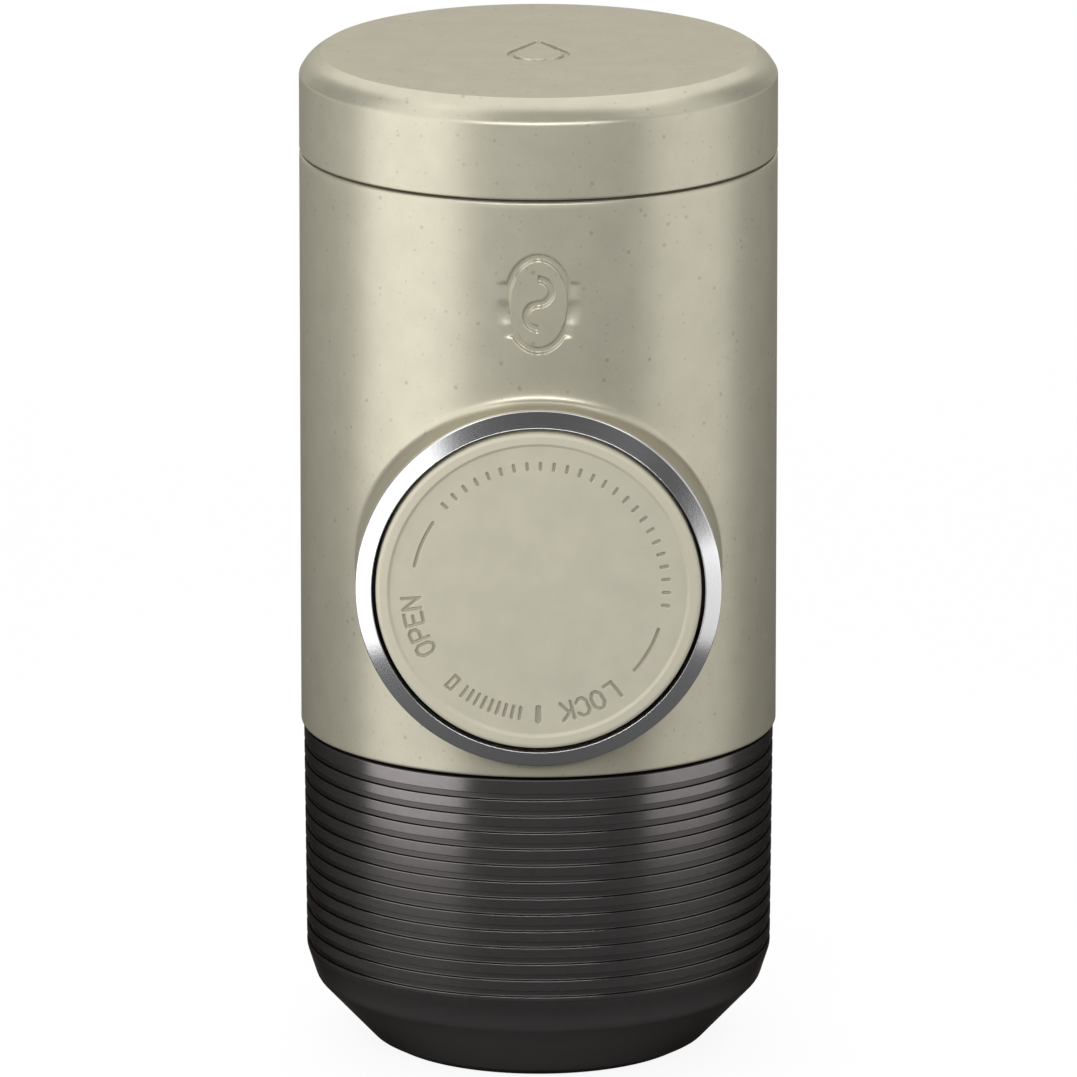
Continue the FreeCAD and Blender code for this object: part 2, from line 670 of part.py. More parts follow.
def piston_rod():
    """The rod, with a nose for the dial, a groove for its clip and a shoulder to push on."""
    return turned_on_knob(
        [
            (0, clip_front() - CLIP_THICKNESS),
            (ROD_NOSE_RADIUS, clip_front() - CLIP_THICKNESS),
            (ROD_NOSE_RADIUS, clip_front() - STATIC_GAP),
            (clip_bore() - STATIC_GAP, clip_front() - STATIC_GAP),
            (clip_bore() - STATIC_GAP, DIAL_BACK_Y - STATIC_GAP),
            (ROD_NOSE_RADIUS, DIAL_BACK_Y - STATIC_GAP),
            (ROD_NOSE_RADIUS, SHOULDER_Y),
            (ROD_SHOULDER_RADIUS, SHOULDER_Y),
            (ROD_SHOULDER_RADIUS, WASHER_Y),
            (ROD_RADIUS, WASHER_Y),
            (ROD_RADIUS, PISTON_REAR_Y),
            (0, PISTON_REAR_Y),
        ]
    )


def clip_front():
    """The front face of the rod's clip, in the recess behind the dial."""
    return DIAL_BACK_Y - STATIC_GAP - SLIDE_GAP - CLIP_THICKNESS


def clip_bore():
    """The clip's inner radius."""
    return ROD_NOSE_RADIUS - CLIP_THICKNESS / 2


def rod_clip():
    """The open spring clip that keeps the dial on the rod."""
    ring = knob_tube(CLIP_RADIUS, clip_bore(), clip_front(), clip_front() + CLIP_THICKNESS)
    gap = Part.makeBox(2 * CLIP_THICKNESS, CLIP_THICKNESS + 2 * CUT, CLIP_RADIUS + CUT)
    gap.translate(V(-CLIP_THICKNESS, clip_front() - CUT, KNOB_Z - CLIP_RADIUS - CUT))
    return ring.cut(gap)


def piston_head():
    """The piston on the rod, with a groove for its seal."""
    radius = CYLINDER_BORE_RADIUS - SLIDE_GAP
    middle = (PISTON_FRONT_Y + PISTON_REAR_Y) / 2
    section = piston_seal_section()
    solid = knob_tube(radius, ROD_RADIUS, PISTON_FRONT_Y, PISTON_REAR_Y)
    half = section + SHAFT_GAP
    floor = CYLINDER_BORE_RADIUS - SHAFT_GAP - 2 * section - SHAFT_GAP
    return solid.cut(knob_tube(radius + CUT, floor, middle - half, middle + half))


def piston_seal_section():
    """The piston seal's section radius, from the depth that the piston leaves it."""
    return (CYLINDER_BORE_RADIUS - ROD_RADIUS) / 4


def piston_seal():
    """The O-ring in the piston's groove."""
    middle = (PISTON_FRONT_Y + PISTON_REAR_Y) / 2
    section = piston_seal_section()
    radius = CYLINDER_BORE_RADIUS - SHAFT_GAP - section
    return Part.makeTorus(radius, section, V(0, middle, KNOB_Z), BACK)


def spring_washer():
    """The washer that carries the spring's push to the rod's shoulder."""
    return knob_tube(WASHER_RADIUS, ROD_RADIUS + SHAFT_GAP, WASHER_Y, SPRING_FRONT_Y)


def return_spring():
    """The coil between the seat plate and the washer, as one unbroken helix."""
    length = SEAT_FRONT_Y - SPRING_FRONT_Y - 2 * SPRING_WIRE - 2 * STATIC_GAP
    pitch = length / SPRING_TURNS
    print("return spring: gap between turns", round(pitch - 2 * SPRING_WIRE, 2), "mm")
    spine = Part.Wire(Part.makeHelix(pitch, length, SPRING_RADIUS).Edges)
    section = Part.Wire(Part.makeCircle(SPRING_WIRE, V(SPRING_RADIUS, 0, 0), BACK))
    coil = spine.makePipeShell([section], True, True)
    coil.rotate(V(0, 0, 0), V(1, 0, 0), -90)
    coil.translate(V(0, SPRING_FRONT_Y + SPRING_WIRE + STATIC_GAP, KNOB_Z))
    return coil


# Dial and plunger
def dial_screw_places():
    """(x, z from the axis) of each screw that holds the dial to the plunger."""
    return [polar(DIAL_SCREW_CIRCLE_RADIUS, angle) for angle in (90, 210, 330)]


def knob_dial():
    """The dial: a shallow dish in a raised rim, with a lock scale cut into it."""
    floor = DIAL_FACE_Y + DIAL_RECESS
    rim = DIAL_RADIUS - DIAL_RIM_WIDTH
    bevel = 2 * EDGE_ROUND
    solid = turned_on_knob(
        [
            (0, floor),
            (rim - DIAL_RECESS, floor),
            (rim, DIAL_FACE_Y),
            (DIAL_RADIUS - bevel, DIAL_FACE_Y),
            (DIAL_RADIUS, DIAL_FACE_Y + bevel),
            (DIAL_RADIUS, DIAL_BACK_Y),
            (0, DIAL_BACK_Y),
        ]
    )
    recess = knob_disc(
        CLIP_RADIUS + RUN_GAP, clip_front() - CLIP_THICKNESS - SLIDE_GAP, DIAL_BACK_Y + CUT
    )
    holes = [
        knob_disc(DIAL_SCREW_RADIUS + SHAFT_GAP, dial_screw_tip() - STATIC_GAP, DIAL_BACK_Y + CUT, x, z)
        for x, z in dial_screw_places()
    ]
    return without(solid, [recess] + holes + dial_marks())


def plunger():
    """The sleeve behind the dial, with its web and the two lugs that ride in the housing."""
    sleeve = knob_disc(PLUNGER_RADIUS, DIAL_BACK_Y, PLUNGER_REAR_Y)
    hollow = knob_disc(PLUNGER_RADIUS - PLUNGER_WALL, WEB_BACK_Y, PLUNGER_REAR_Y + CUT)
    lug_front = PLUNGER_REAR_Y - LUG_LENGTH
    lugs = []
    for side in (0, 180):
        lug = sector(HOUSING_OUTER - SLIDE_GAP, lug_front, PLUNGER_REAR_Y, 2 * LUG_HALF_ANGLE_DEG)
        lug.rotate(KNOB_CENTRE, BACK, side)
        lugs.append(lug)
    solid = joined(sleeve, lugs).cut(hollow)
    nose = knob_disc(ROD_NOSE_RADIUS + SHAFT_GAP, DIAL_BACK_Y - CUT, WEB_BACK_Y + CUT)
    holes = [
        knob_disc(DIAL_SCREW_RADIUS + SHAFT_GAP, DIAL_BACK_Y - CUT, WEB_BACK_Y + CUT, x, z)
        for x, z in dial_screw_places()
    ]
    return without(solid, [nose] + holes)


def dial_screw_tip():
    """How far forward the dial's screws reach."""
    return DIAL_BACK_Y - DIAL_SCREW_BITE


def dial_screws():
    """The three screws through the plunger's web into the dial."""
    screws = []
    for x, z in dial_screw_places():
        shank = knob_disc(DIAL_SCREW_RADIUS, dial_screw_tip(), WEB_BACK_Y, x, z)
        head = knob_disc(DIAL_SCREW_HEAD_RADIUS, WEB_BACK_Y, WEB_BACK_Y + DIAL_SCREW_HEAD, x, z)
        screws.append(joined(shank, [head]))
    return Part.makeCompound(screws)


# Brew base and capsule chamber
def screw_tip():
    """How high the frame screws reach into the posts."""
    return BASE_TOP_Z + SCREW_BITE


def brew_base():
    """The plate that closes the body, with the outlet duct, its channel and the neck."""
    plate = disc(INSERT_RADIUS, BASE_PLATE_Z, BASE_TOP_Z)
    flange = tube(INSERT_RADIUS, NECK_INNER, SHELL_BOTTOM_Z + RUN_GAP, BASE_PLATE_Z)
    neck = tube(NECK_OUTER, NECK_INNER, NECK_END_Z, SHELL_BOTTOM_Z + RUN_GAP)
    duct = disc(DUCT_RADIUS, BASE_TOP_Z, pump_boss_bottom(), 0, DUCT_Y)
    ridge_z = CUP_RIM_Z - CUP_SEAL_BELOW_RIM - CUP_SEAL_SECTION - RUN_GAP - thread_height()
    solid = joined(plate, [flange, neck, duct])
    solid = joined(solid, thread_ridges(NECK_OUTER, ridge_z))
    skin = BASE_PLATE / 4
    channel = Part.makeBox(2 * DUCT_BORE_RADIUS, DUCT_Y, BASE_PLATE - 2 * skin)
    channel.translate(V(-DUCT_BORE_RADIUS, 0, BASE_PLATE_Z + skin))
    cutters = [
        channel,
        disc(DUCT_BORE_RADIUS, BASE_PLATE_Z + skin, pump_boss_bottom() + CUT, 0, DUCT_Y),
        disc(PORT_RADIUS, BASE_PLATE_Z - CUT, BASE_PLATE_Z + 2 * skin),
    ]
    cutters += [
        disc(SCREW_RADIUS + SHAFT_GAP, BASE_PLATE_Z - CUT, BASE_TOP_Z + CUT, x, y)
        for x, y in post_places()
    ]
    return without(solid, cutters)


def frame_screws():
    """The four long screws that clamp the brew base to the posts."""
    screws = []
    for x, y in post_places():
        shank = disc(SCREW_RADIUS, BASE_PLATE_Z, screw_tip(), x, y)
        head = disc(SCREW_HEAD_RADIUS, BASE_PLATE_Z - SCREW_HEAD, BASE_PLATE_Z, x, y)
        slot = Part.makeBox(2 * SCREW_HEAD_RADIUS + CUT, SCREW_RADIUS / 2, SCREW_HEAD / 3)
        slot.translate(
            V(
                x - SCREW_HEAD_RADIUS - CUT / 2,
                y - SCREW_RADIUS / 4,
                BASE_PLATE_Z - SCREW_HEAD,
            )
        )
        screws.append(joined(shank, [head]).cut(slot))
    return Part.makeCompound(screws)


def needle_plate():
    """The steel disc whose needles pierce the capsule, with the water hole in its middle."""
    plate = disc(CAPSULE_TOP_RADIUS - STATIC_GAP, BASE_PLATE_Z - NEEDLE_PLATE, BASE_PLATE_Z)
    needles = []
    for angle in (90, 210, 330):
        x, y = polar(NEEDLE_CIRCLE_RADIUS, angle)
        foot = V(x, y, BASE_PLATE_Z - NEEDLE_PLATE)
        tip = NEEDLE_RADIUS / 8
        needles.append(Part.makeCone(NEEDLE_RADIUS, tip, NEEDLE_HEIGHT, foot, V(0, 0, -1)))
    hole = disc(PORT_RADIUS, BASE_PLATE_Z - NEEDLE_PLATE - CUT, BASE_PLATE_Z + CUT)
    return joined(plate, needles).cut(hole)


def capsule_bell():
    """The tapering chamber that the capsule goes up into, hung from the brew base."""
    flange_z = BASE_PLATE_Z - BELL_FLANGE
    rim_z = BELL_BOTTOM_Z + BELL_WALL
    return turned(
        [
            (CAPSULE_TOP_RADIUS, BASE_PLATE_Z),
            (CAPSULE_TOP_RADIUS, flange_z),
            (CAPSULE_MOUTH_RADIUS, BELL_BOTTOM_Z),
            (CAPSULE_RIM_RADIUS, BELL_BOTTOM_Z),
            (CAPSULE_RIM_RADIUS, rim_z),
            (CAPSULE_MOUTH_RADIUS + BELL_WALL, rim_z + BELL_WALL),
            (CAPSULE_TOP_RADIUS + BELL_WALL, flange_z),
            (BELL_FLANGE_RADIUS, flange_z),
            (BELL_FLANGE_RADIUS, BASE_PLATE_Z),
        ]
    )


def capsule_seal():
    """The silicone ring that presses on the capsule's rim."""
    return tube(CAPSULE_RIM_RADIUS, CAPSULE_MOUTH_RADIUS, SEAL_BOTTOM_Z, BELL_BOTTOM_Z)


# Outlet head
def head_seal_z():
    """The level of the outlet head's seal, inside the neck."""
    return BASE_PLATE_Z - SCREW_HEAD - RUN_GAP - 2 * HEAD_SEAL_SECTION - EDGE_ROUND - RUN_GAP


def head_top_z():
    """The outlet head's upper rim, just under the frame screws' heads."""
    return BASE_PLATE_Z - SCREW_HEAD - RUN_GAP


def outlet_head():
    """The screw-on head that holds the capsule from below, with a notched grip."""
    grip_top = NECK_END_Z - RUN_GAP
    grip_bottom = grip_top - GRIP_HEIGHT
    grip_radius = HEAD_OUTER + GRIP_PROUD
    slope = HEAD_WALL
    groove = HEAD_SEAL_SECTION + SEAL_GAP
    groove_floor = head_seal_radius() - HEAD_SEAL_SECTION - STATIC_GAP
    solid = turned(
        [
            (NOZZLE_SPIGOT_RADIUS + STATIC_GAP, HEAD_BOTTOM_Z),
            (HEAD_OUTER - slope, HEAD_BOTTOM_Z),
            (HEAD_OUTER, HEAD_BOTTOM_Z + slope),
            (HEAD_OUTER, grip_bottom - GRIP_PROUD),
            (grip_radius, grip_bottom),
            (grip_radius, grip_top - EDGE_ROUND),
            (grip_radius - EDGE_ROUND, grip_top),
            (HEAD_OUTER, grip_top),
            (HEAD_OUTER, head_seal_z() - groove),
            (groove_floor, head_seal_z() - groove),
            (groove_floor, head_seal_z() + groove),
            (HEAD_OUTER, head_seal_z() + groove),
            (HEAD_OUTER, head_top_z()),
            (HEAD_INNER, head_top_z()),
            (HEAD_INNER, HEAD_FLOOR_Z),
            (CAPSULE_RIM_RADIUS, HEAD_FLOOR_Z),
            (NOZZLE_SPIGOT_RADIUS + STATIC_GAP, HEAD_FLOOR_Z - HEAD_FLOOR / 3),
        ]
    )
    ridge_z = head_seal_z() - groove - RUN_GAP - thread_height()
    solid = joined(solid, thread_ridges(HEAD_OUTER, ridge_z))
    notch = GRIP_PROUD / 2
    notches = [
        disc(notch, grip_bottom - GRIP_PROUD, grip_top - EDGE_ROUND, *polar(grip_radius + notch / 2, a))
        for a in (360.0 * k / GRIP_NOTCHES for k in range(GRIP_NOTCHES))
    ]
    return without(solid, notches)


def head_seal_radius():
    """The centre radius of the outlet head's seal."""
    return NECK_INNER - SEAL_GAP - HEAD_SEAL_SECTION


def head_seal():
    """The O-ring between the outlet head and the neck."""
    return ring_seal(head_seal_radius(), HEAD_SEAL_SECTION, head_seal_z())


def pyramid_plate():
    """The steel plate that the capsule's foil bursts on: a field of small pyramids and holes."""
    plate = disc(HEAD_INNER - STATIC_GAP, HEAD_FLOOR_Z, PYRAMID_TOP_Z)
    pyramids = []
    holes = []
    reach = 3
    for i in range(-reach, reach + 1):
        for j in range(-reach, reach + 1):
            x, y = i * PYRAMID_PITCH, j * PYRAMID_PITCH
            if math.hypot(x, y) > CAPSULE_MOUTH_RADIUS - PYRAMID_PITCH / 2:
                continue
            foot = V(x, y, PYRAMID_TOP_Z)
            pyramids.append(Part.makeCone(PYRAMID_PITCH / 4, PORT_RADIUS / 4, PYRAMID_HEIGHT, foot, UP))
            centre = PYRAMID_PITCH / 2
            if math.hypot(x + centre, y + centre) < CAPSULE_MOUTH_RADIUS - PYRAMID_PITCH / 2:
                spot = (x + centre, y + centre)
                holes.append(disc(PORT_RADIUS / 2, HEAD_FLOOR_Z - CUT, PYRAMID_TOP_Z + CUT, *spot))
    return without(joined(plate, pyramids), holes)


def outlet_nozzle():
    """The spout in the outlet head's floor."""
    return turned(
        [
            (NOZZLE_BORE_RADIUS, NOZZLE_TIP_Z),
            (NOZZLE_TIP_RADIUS - EDGE_ROUND, NOZZLE_TIP_Z),
            (NOZZLE_TIP_RADIUS, NOZZLE_TIP_Z + EDGE_ROUND),
            (NOZZLE_ROOT_RADIUS, HEAD_BOTTOM_Z - EDGE_ROUND),
            (NOZZLE_ROOT_RADIUS, HEAD_BOTTOM_Z),
            (NOZZLE_SPIGOT_RADIUS, HEAD_BOTTOM_Z),
            (NOZZLE_SPIGOT_RADIUS, HEAD_FLOOR_Z - HEAD_FLOOR / 2),
            (NOZZLE_BORE_RADIUS, HEAD_FLOOR_Z - HEAD_FLOOR / 2),
        ]
    )


# Cup
def cup_wall_radius(z):
    """The cup's outer radius on its ribbed stretch, which tapers a little to the base."""
    share = (CUP_RIM_Z - z) / (CUP_RIM_Z - CUP_SHOULDER_HEIGHT)
    return CUP_RIM_RADIUS - CUP_TAPER * share


def cup_seal_z():
    """The level of the seal inside the cup's rim."""
    return CUP_RIM_Z - CUP_SEAL_BELOW_RIM


def cup_profile():
    """The cup's outer wall below the ribs: a round shoulder, a sloping flank and a foot."""
    shoulder = V(cup_wall_radius(CUP_SHOULDER_HEIGHT), 0, CUP_SHOULDER_HEIGHT)
    flank_top = V(shoulder.x - CUP_CHAMFER_TOP_INSET, 0, CUP_CHAMFER_TOP_HEIGHT)
    flank_foot = V(CUP_BASE_RADIUS + CUP_CHAMFER_FOOT_OUTSET, 0, CUP_CHAMFER_FOOT_HEIGHT)
    base = V(CUP_BASE_RADIUS, 0, 0)
    return shoulder, flank_top, flank_foot, base


def rounded_corner(before, after, bulge):
    """A point that an arc from before to after passes through, bulge out of its chord."""
    middle = (before + after) * 0.5
    along = after - before
    out = V(-along.z, 0, along.x)
    out.normalize()
    return middle + out * (-bulge if out.x < 0 else bulge)


def cup():
    """The drinking cup that also covers the outlet head, ribbed outside and open above."""
    shoulder, flank_top, flank_foot, base = cup_profile()
    inner_radius = shoulder.x - CUP_WALL
    inner_foot = CUP_BASE_RADIUS + CUP_CHAMFER_FOOT_OUTSET - CUP_FLOOR / 2
    inner_turn = CUP_CHAMFER_TOP_HEIGHT + CUP_FLOOR
    step_z = NECK_END_Z - 2 * RUN_GAP
    bulge = (shoulder - flank_top).Length / 12
    foot_bulge = (flank_foot - base).Length / 8
    edges = [
        Part.LineSegment(V(CUP_RIM_RADIUS, 0, CUP_RIM_Z), shoulder),
        Part.Arc(shoulder, rounded_corner(shoulder, flank_top, bulge), flank_top),
        Part.LineSegment(flank_top, flank_foot),
        Part.Arc(flank_foot, rounded_corner(flank_foot, base, foot_bulge), base),
    ]
    inside = [
        base,
        V(0, 0, 0),
        V(0, 0, CUP_FLOOR),
        V(inner_foot, 0, CUP_FLOOR),
        V(inner_radius, 0, inner_turn),
        V(inner_radius, 0, step_z - CUP_BORE_RADIUS + inner_radius),
        V(CUP_BORE_RADIUS, 0, step_z),
        V(CUP_BORE_RADIUS, 0, CUP_RIM_Z),
        V(CUP_RIM_RADIUS, 0, CUP_RIM_Z),
    ]
    edges += [Part.LineSegment(a, b) for a, b in zip(inside, inside[1:])]
    wire = Part.Wire([edge.toShape() for edge in edges])
    solid = Part.Face(wire).revolve(V(0, 0, 0), UP, 360)
    solid = rounded(solid, EDGE_ROUND, [(CUP_RIM_RADIUS, CUP_RIM_Z)])
    half = CUP_SEAL_SECTION + SEAL_GAP
    seal_groove = tube(
        cup_seal_radius() + CUP_SEAL_SECTION + STATIC_GAP,
        CUP_BORE_RADIUS - CUT,
        cup_seal_z() - half,
        cup_seal_z() + half,
    )
    return without(solid, rib_grooves() + [seal_groove])


def rib_grooves():
    """The square grooves that leave the cup's ribs, evenly spaced from shoulder to rim band."""
    pitch = (CUP_RIM_Z - RIM_BAND - CUP_SHOULDER_HEIGHT) / RIB_COUNT
    grooves = []
    for k in range(RIB_COUNT):
        middle = CUP_SHOULDER_HEIGHT + pitch * (k + 0.5)
        floor = cup_wall_radius(middle) - RIB_GROOVE_DEPTH
        half = RIB_GROOVE_WIDTH / 2
        grooves.append(tube(BODY_RADIUS + CUT, floor, middle - half, middle + half))
    return grooves


def cup_seal_radius():
    """The centre radius of the cup's seal."""
    return NECK_OUTER + SEAL_GAP + CUP_SEAL_SECTION


def cup_seal():
    """The O-ring inside the cup's rim."""
    return ring_seal(cup_seal_radius(), CUP_SEAL_SECTION, cup_seal_z())


# Water tank
def tank_cover():
    """The outer cap of the tank, bevelled at the top, with an engraved drop."""
    middle = TANK_BEVEL / 2 - TANK_BEVEL_CROWN
    solid = turned(
        [
            (0, TOP_Z),
            (BODY_RADIUS - TANK_BEVEL, TOP_Z),
            (BODY_RADIUS - middle, TOP_Z - middle),
            (BODY_RADIUS, TOP_Z - TANK_BEVEL),
            (BODY_RADIUS, COVER_BOTTOM_Z),
            (SHELL_INNER, COVER_BOTTOM_Z),
            (SHELL_INNER, TOP_Z - TANK_BEVEL - SHELL_WALL / 2),
            (SHELL_INNER - TANK_BEVEL + SHELL_WALL / 2, TOP_Z - SHELL_WALL),
            (0, TOP_Z - SHELL_WALL),
        ]
    )
    spots = [
        (BODY_RADIUS - TANK_BEVEL, TOP_Z),
        (BODY_RADIUS, TOP_Z - TANK_BEVEL),
        (BODY_RADIUS, COVER_BOTTOM_Z),
    ]
    return rounded(solid, EDGE_ROUND, spots).cut(drop_mark())


def vessel_seal_radius():
    """The centre radius of the tank's seal."""
    return SOCKET_BORE_RADIUS - SEAL_GAP - TANK_SEAL_SECTION


def vessel_seal_z():
    """The level of the tank's seal."""
    return VESSEL_MOUTH_Z + TANK_SEAL_ABOVE_MOUTH


def tank_vessel():
    """The tank itself: closed above, open below, with a seal groove, threads and a flange."""
    top = TOP_Z - SHELL_WALL
    flange_low = COVER_BOTTOM_Z + RUN_GAP
    groove = TANK_SEAL_SECTION + SEAL_GAP
    groove_floor = vessel_seal_radius() - TANK_SEAL_SECTION - STATIC_GAP
    solid = turned(
        [
            (0, top),
            (SHELL_INNER - TANK_BEVEL - SHELL_WALL / 2, top),
            (VESSEL_OUTER, top - TANK_BEVEL - SHELL_WALL / 2),
            (VESSEL_OUTER, flange_low + VESSEL_FLANGE),
            (INSERT_RADIUS, flange_low + VESSEL_FLANGE),
            (INSERT_RADIUS, flange_low),
            (VESSEL_OUTER, flange_low),
            (VESSEL_OUTER, vessel_seal_z() + groove),
            (groove_floor, vessel_seal_z() + groove),
            (groove_floor, vessel_seal_z() - groove),
            (VESSEL_OUTER, vessel_seal_z() - groove),
            (VESSEL_OUTER, VESSEL_MOUTH_Z),
            (VESSEL_INNER, VESSEL_MOUTH_Z),
            (VESSEL_INNER, top - TANK_END_WALL - TANK_BEVEL),
            (VESSEL_INNER - TANK_BEVEL, top - TANK_END_WALL),
            (0, top - TANK_END_WALL),
        ]
    )
    return joined(solid, thread_ridges(VESSEL_OUTER, vessel_seal_z() + groove + RUN_GAP))


def tank_seal():
    """The O-ring round the tank's neck."""
    return ring_seal(vessel_seal_radius(), TANK_SEAL_SECTION, vessel_seal_z())


PIECES = {
    "body_shell": body_shell,
    "chrome_ring": chrome_ring,
    "piston_housing": piston_housing,
    "spring_seat": spring_seat,
    "tank_socket": tank_socket,
    "tank_gasket": tank_gasket,
    "strainer": strainer,
    "air_valve": air_valve,
    "inlet_valve": inlet_valve,
    "outlet_valve": outlet_valve,
    "pump_cylinder": pump_cylinder,
    "pump_end_cap": pump_end_cap,
    "rod_bush": rod_bush,
    "brew_base": brew_base,
    "frame_screws": frame_screws,
    "needle_plate": needle_plate,
    "capsule_bell": capsule_bell,
    "capsule_seal": capsule_seal,
    "piston_rod": piston_rod,
    "piston_head": piston_head,
    "piston_seal": piston_seal,
    "spring_washer": spring_washer,
    "return_spring": return_spring,
    "knob_dial": knob_dial,
    "plunger": plunger,
    "rod_clip": rod_clip,
    "dial_screws": dial_screws,
    "outlet_head": outlet_head,
    "head_seal": head_seal,
    "pyramid_plate": pyramid_plate,
    "outlet_nozzle": outlet_nozzle,
    "cup": cup,
    "cup_seal": cup_seal,
    "tank_cover": tank_cover,
    "tank_vessel": tank_vessel,
    "tank_seal": tank_seal,
}

os.makedirs("parts", exist_ok=True)
for name, make in PIECES.items():
    make().exportStep(os.path.join("parts", name + ".step"))
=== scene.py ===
import json
import math

import bpy
import numpy as np
from bpy.props import FloatProperty, FloatVectorProperty, PointerProperty
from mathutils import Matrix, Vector


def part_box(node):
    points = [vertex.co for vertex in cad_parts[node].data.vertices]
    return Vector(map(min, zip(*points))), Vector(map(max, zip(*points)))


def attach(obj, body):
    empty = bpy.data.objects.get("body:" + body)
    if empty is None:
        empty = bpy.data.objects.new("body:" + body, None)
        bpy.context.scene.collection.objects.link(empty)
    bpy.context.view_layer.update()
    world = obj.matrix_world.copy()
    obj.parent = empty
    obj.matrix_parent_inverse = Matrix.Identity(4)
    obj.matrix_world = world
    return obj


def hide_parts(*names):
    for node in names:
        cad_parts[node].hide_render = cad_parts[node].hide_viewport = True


bl_info = {
    "name": "Handheld Espresso Maker",
    "version": (1, 0, 0),
    "blender": (4, 5, 0),
    "location": "View3D > Sidebar > Espresso",
    "description": "Dresses the packed espresso maker with its outer skins, engravings and finishes",
    "category": "Object",
}

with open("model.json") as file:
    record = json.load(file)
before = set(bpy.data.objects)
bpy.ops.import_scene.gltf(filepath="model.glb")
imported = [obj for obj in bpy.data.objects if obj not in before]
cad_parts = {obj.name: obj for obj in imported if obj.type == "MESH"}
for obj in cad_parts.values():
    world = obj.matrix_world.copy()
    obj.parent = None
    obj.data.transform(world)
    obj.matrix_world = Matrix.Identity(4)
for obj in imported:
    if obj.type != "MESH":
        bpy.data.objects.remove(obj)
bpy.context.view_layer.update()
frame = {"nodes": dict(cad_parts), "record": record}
NODES = frame["nodes"]

MM = 0.001
TAU = 2 * math.pi


def span(node, axis):
    """Lowest and highest coordinate of a CAD node along an axis, in mm."""
    low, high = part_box(node)
    return low[axis] / MM, high[axis] / MM


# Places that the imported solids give, in mm
CUP_LOW, CUP_HIGH = span("cup", 2)
SHELL_LOW, SHELL_HIGH = span("body_shell", 2)
COVER_LOW, COVER_HIGH = span("tank_cover", 2)
BODY_RADIUS = span("body_shell", 0)[1]
BOSS_FRONT = span("body_shell", 1)[0]
RING_FRONT = span("chrome_ring", 1)[0]
RING_RADIUS = span("chrome_ring", 0)[1]
DIAL_RADIUS = span("knob_dial", 0)[1]
DIAL_BACK = span("knob_dial", 1)[1]
KNOB_Z = sum(span("knob_dial", 2)) / 2
WELL_RADIUS = span("piston_housing", 0)[1]
INSERT_RADIUS = span("tank_socket", 0)[1]

# Shapes that the solids' boxes don't give, in mm
SHELL_INNER = INSERT_RADIUS + 0.1
BOSS_BORE = WELL_RADIUS + 0.1
TANK_BEVEL = 2.75
BEVEL_MIDDLE = 1.075
TANK_TOP_WALL = 1.8
CUP_RIM_RADIUS = span("cup", 0)[1]
CUP_TAPER = 0.3
CUP_SHOULDER = 12.6
CUP_RIM_BAND = 1.4
CUP_BORE = 27.95
CUP_STEP = 35.7
CUP_SEAL_LOW, CUP_SEAL_HIGH = 40.0, 41.8
CUP_SEAL_FLOOR = 29.1
CUP_BASE_FLAT = 20.0
CUP_FLANK = ((21.9, 1.0, 1.4), (29.05, 8.6, 2.4))
CUP_WALL = 2.2
CUP_FLOOR = 3.0
RIB_COUNT = 13
GROOVE_HALF_WIDTH = 0.43
GROOVE_LIP = 0.06
RING_SLOPE = 1.2
RING_INNER = RING_RADIUS - 2.1
DIAL_RECESS = 0.3
DIAL_RIM = 1.5
DIAL_PLAIN = 14.6
DIAL_DISH = 18.2
BEAN_BELOW_TOP = 13.3
BEAN_REACH = 5.2
MARK_RADIUS = 16.4
LINE_HALF_WIDTH = 0.17
EMBLEM_HALF_WIDTH, EMBLEM_WALL = 0.4, 0.2
LOCK_TURN = 42.0

# The view and the studio, in metres and watts
CAMERA_AWAY = 2.0
CAMERA_RISE = math.radians(14.27)
CAMERA_AIM = 0.06684
VIEW_WIDTH = 0.1404
SENSOR_WIDTH = 36.0
FLOOR_HALF = 12.0
FLOOR_GLOW = 0.9
MIRRORED_FROM, MIRRORED_FULLY = 0.15, 2.00
WORLD_LIGHT = 0.03
LAMP_AIM = 0.07
# Each lamp: its name, bearing from the front to the right in degrees, distance from the object's
# axis, width and height, place above the floor, and power
LAMPS = (
    ("left softbox", -58.0, 0.125, (0.117, 0.34), 0.175, 0.165),
    ("right softbox", 72.5, 0.125, (0.112, 0.34), 0.175, 0.094),
    ("front softbox", 0.0, 1.0, (1.2, 0.35), 0.45, 7.0),
    ("back softbox", 180.0, 1.0, (1.6, 0.7), 0.50, 2.6),
    ("top softbox", 180.0, 0.5, (2.2, 2.2), 1.4, 20.0),
)


# Settings that a user would change
class ShapeSettings(bpy.types.PropertyGroup):
    engraving: FloatProperty(
        name="Engraving depth",
        description="How deep the marks are cut",
        default=0.33 * MM,
        min=0,
        unit="LENGTH",
    )
    boss_blend: FloatProperty(
        name="Boss blend",
        description="Radius of the blend between the dial's boss and the body",
        default=1.4 * MM,
        min=0.0002,
        unit="LENGTH",
    )
    rib_groove: FloatProperty(
        name="Rib groove",
        description="Depth of the grooves between the cup's ribs",
        default=0.5 * MM,
        min=0,
        unit="LENGTH",
    )
    edge_round: FloatProperty(
        name="Edge rounding",
        description="Radius of the small roundings on the outer edges",
        default=0.3 * MM,
        min=0.00005,
        unit="LENGTH",
    )


def colour(name, description, default):
    """A colour property."""
    return FloatVectorProperty(
        name=name, description=description, default=default, subtype="COLOR", min=0, max=1
    )


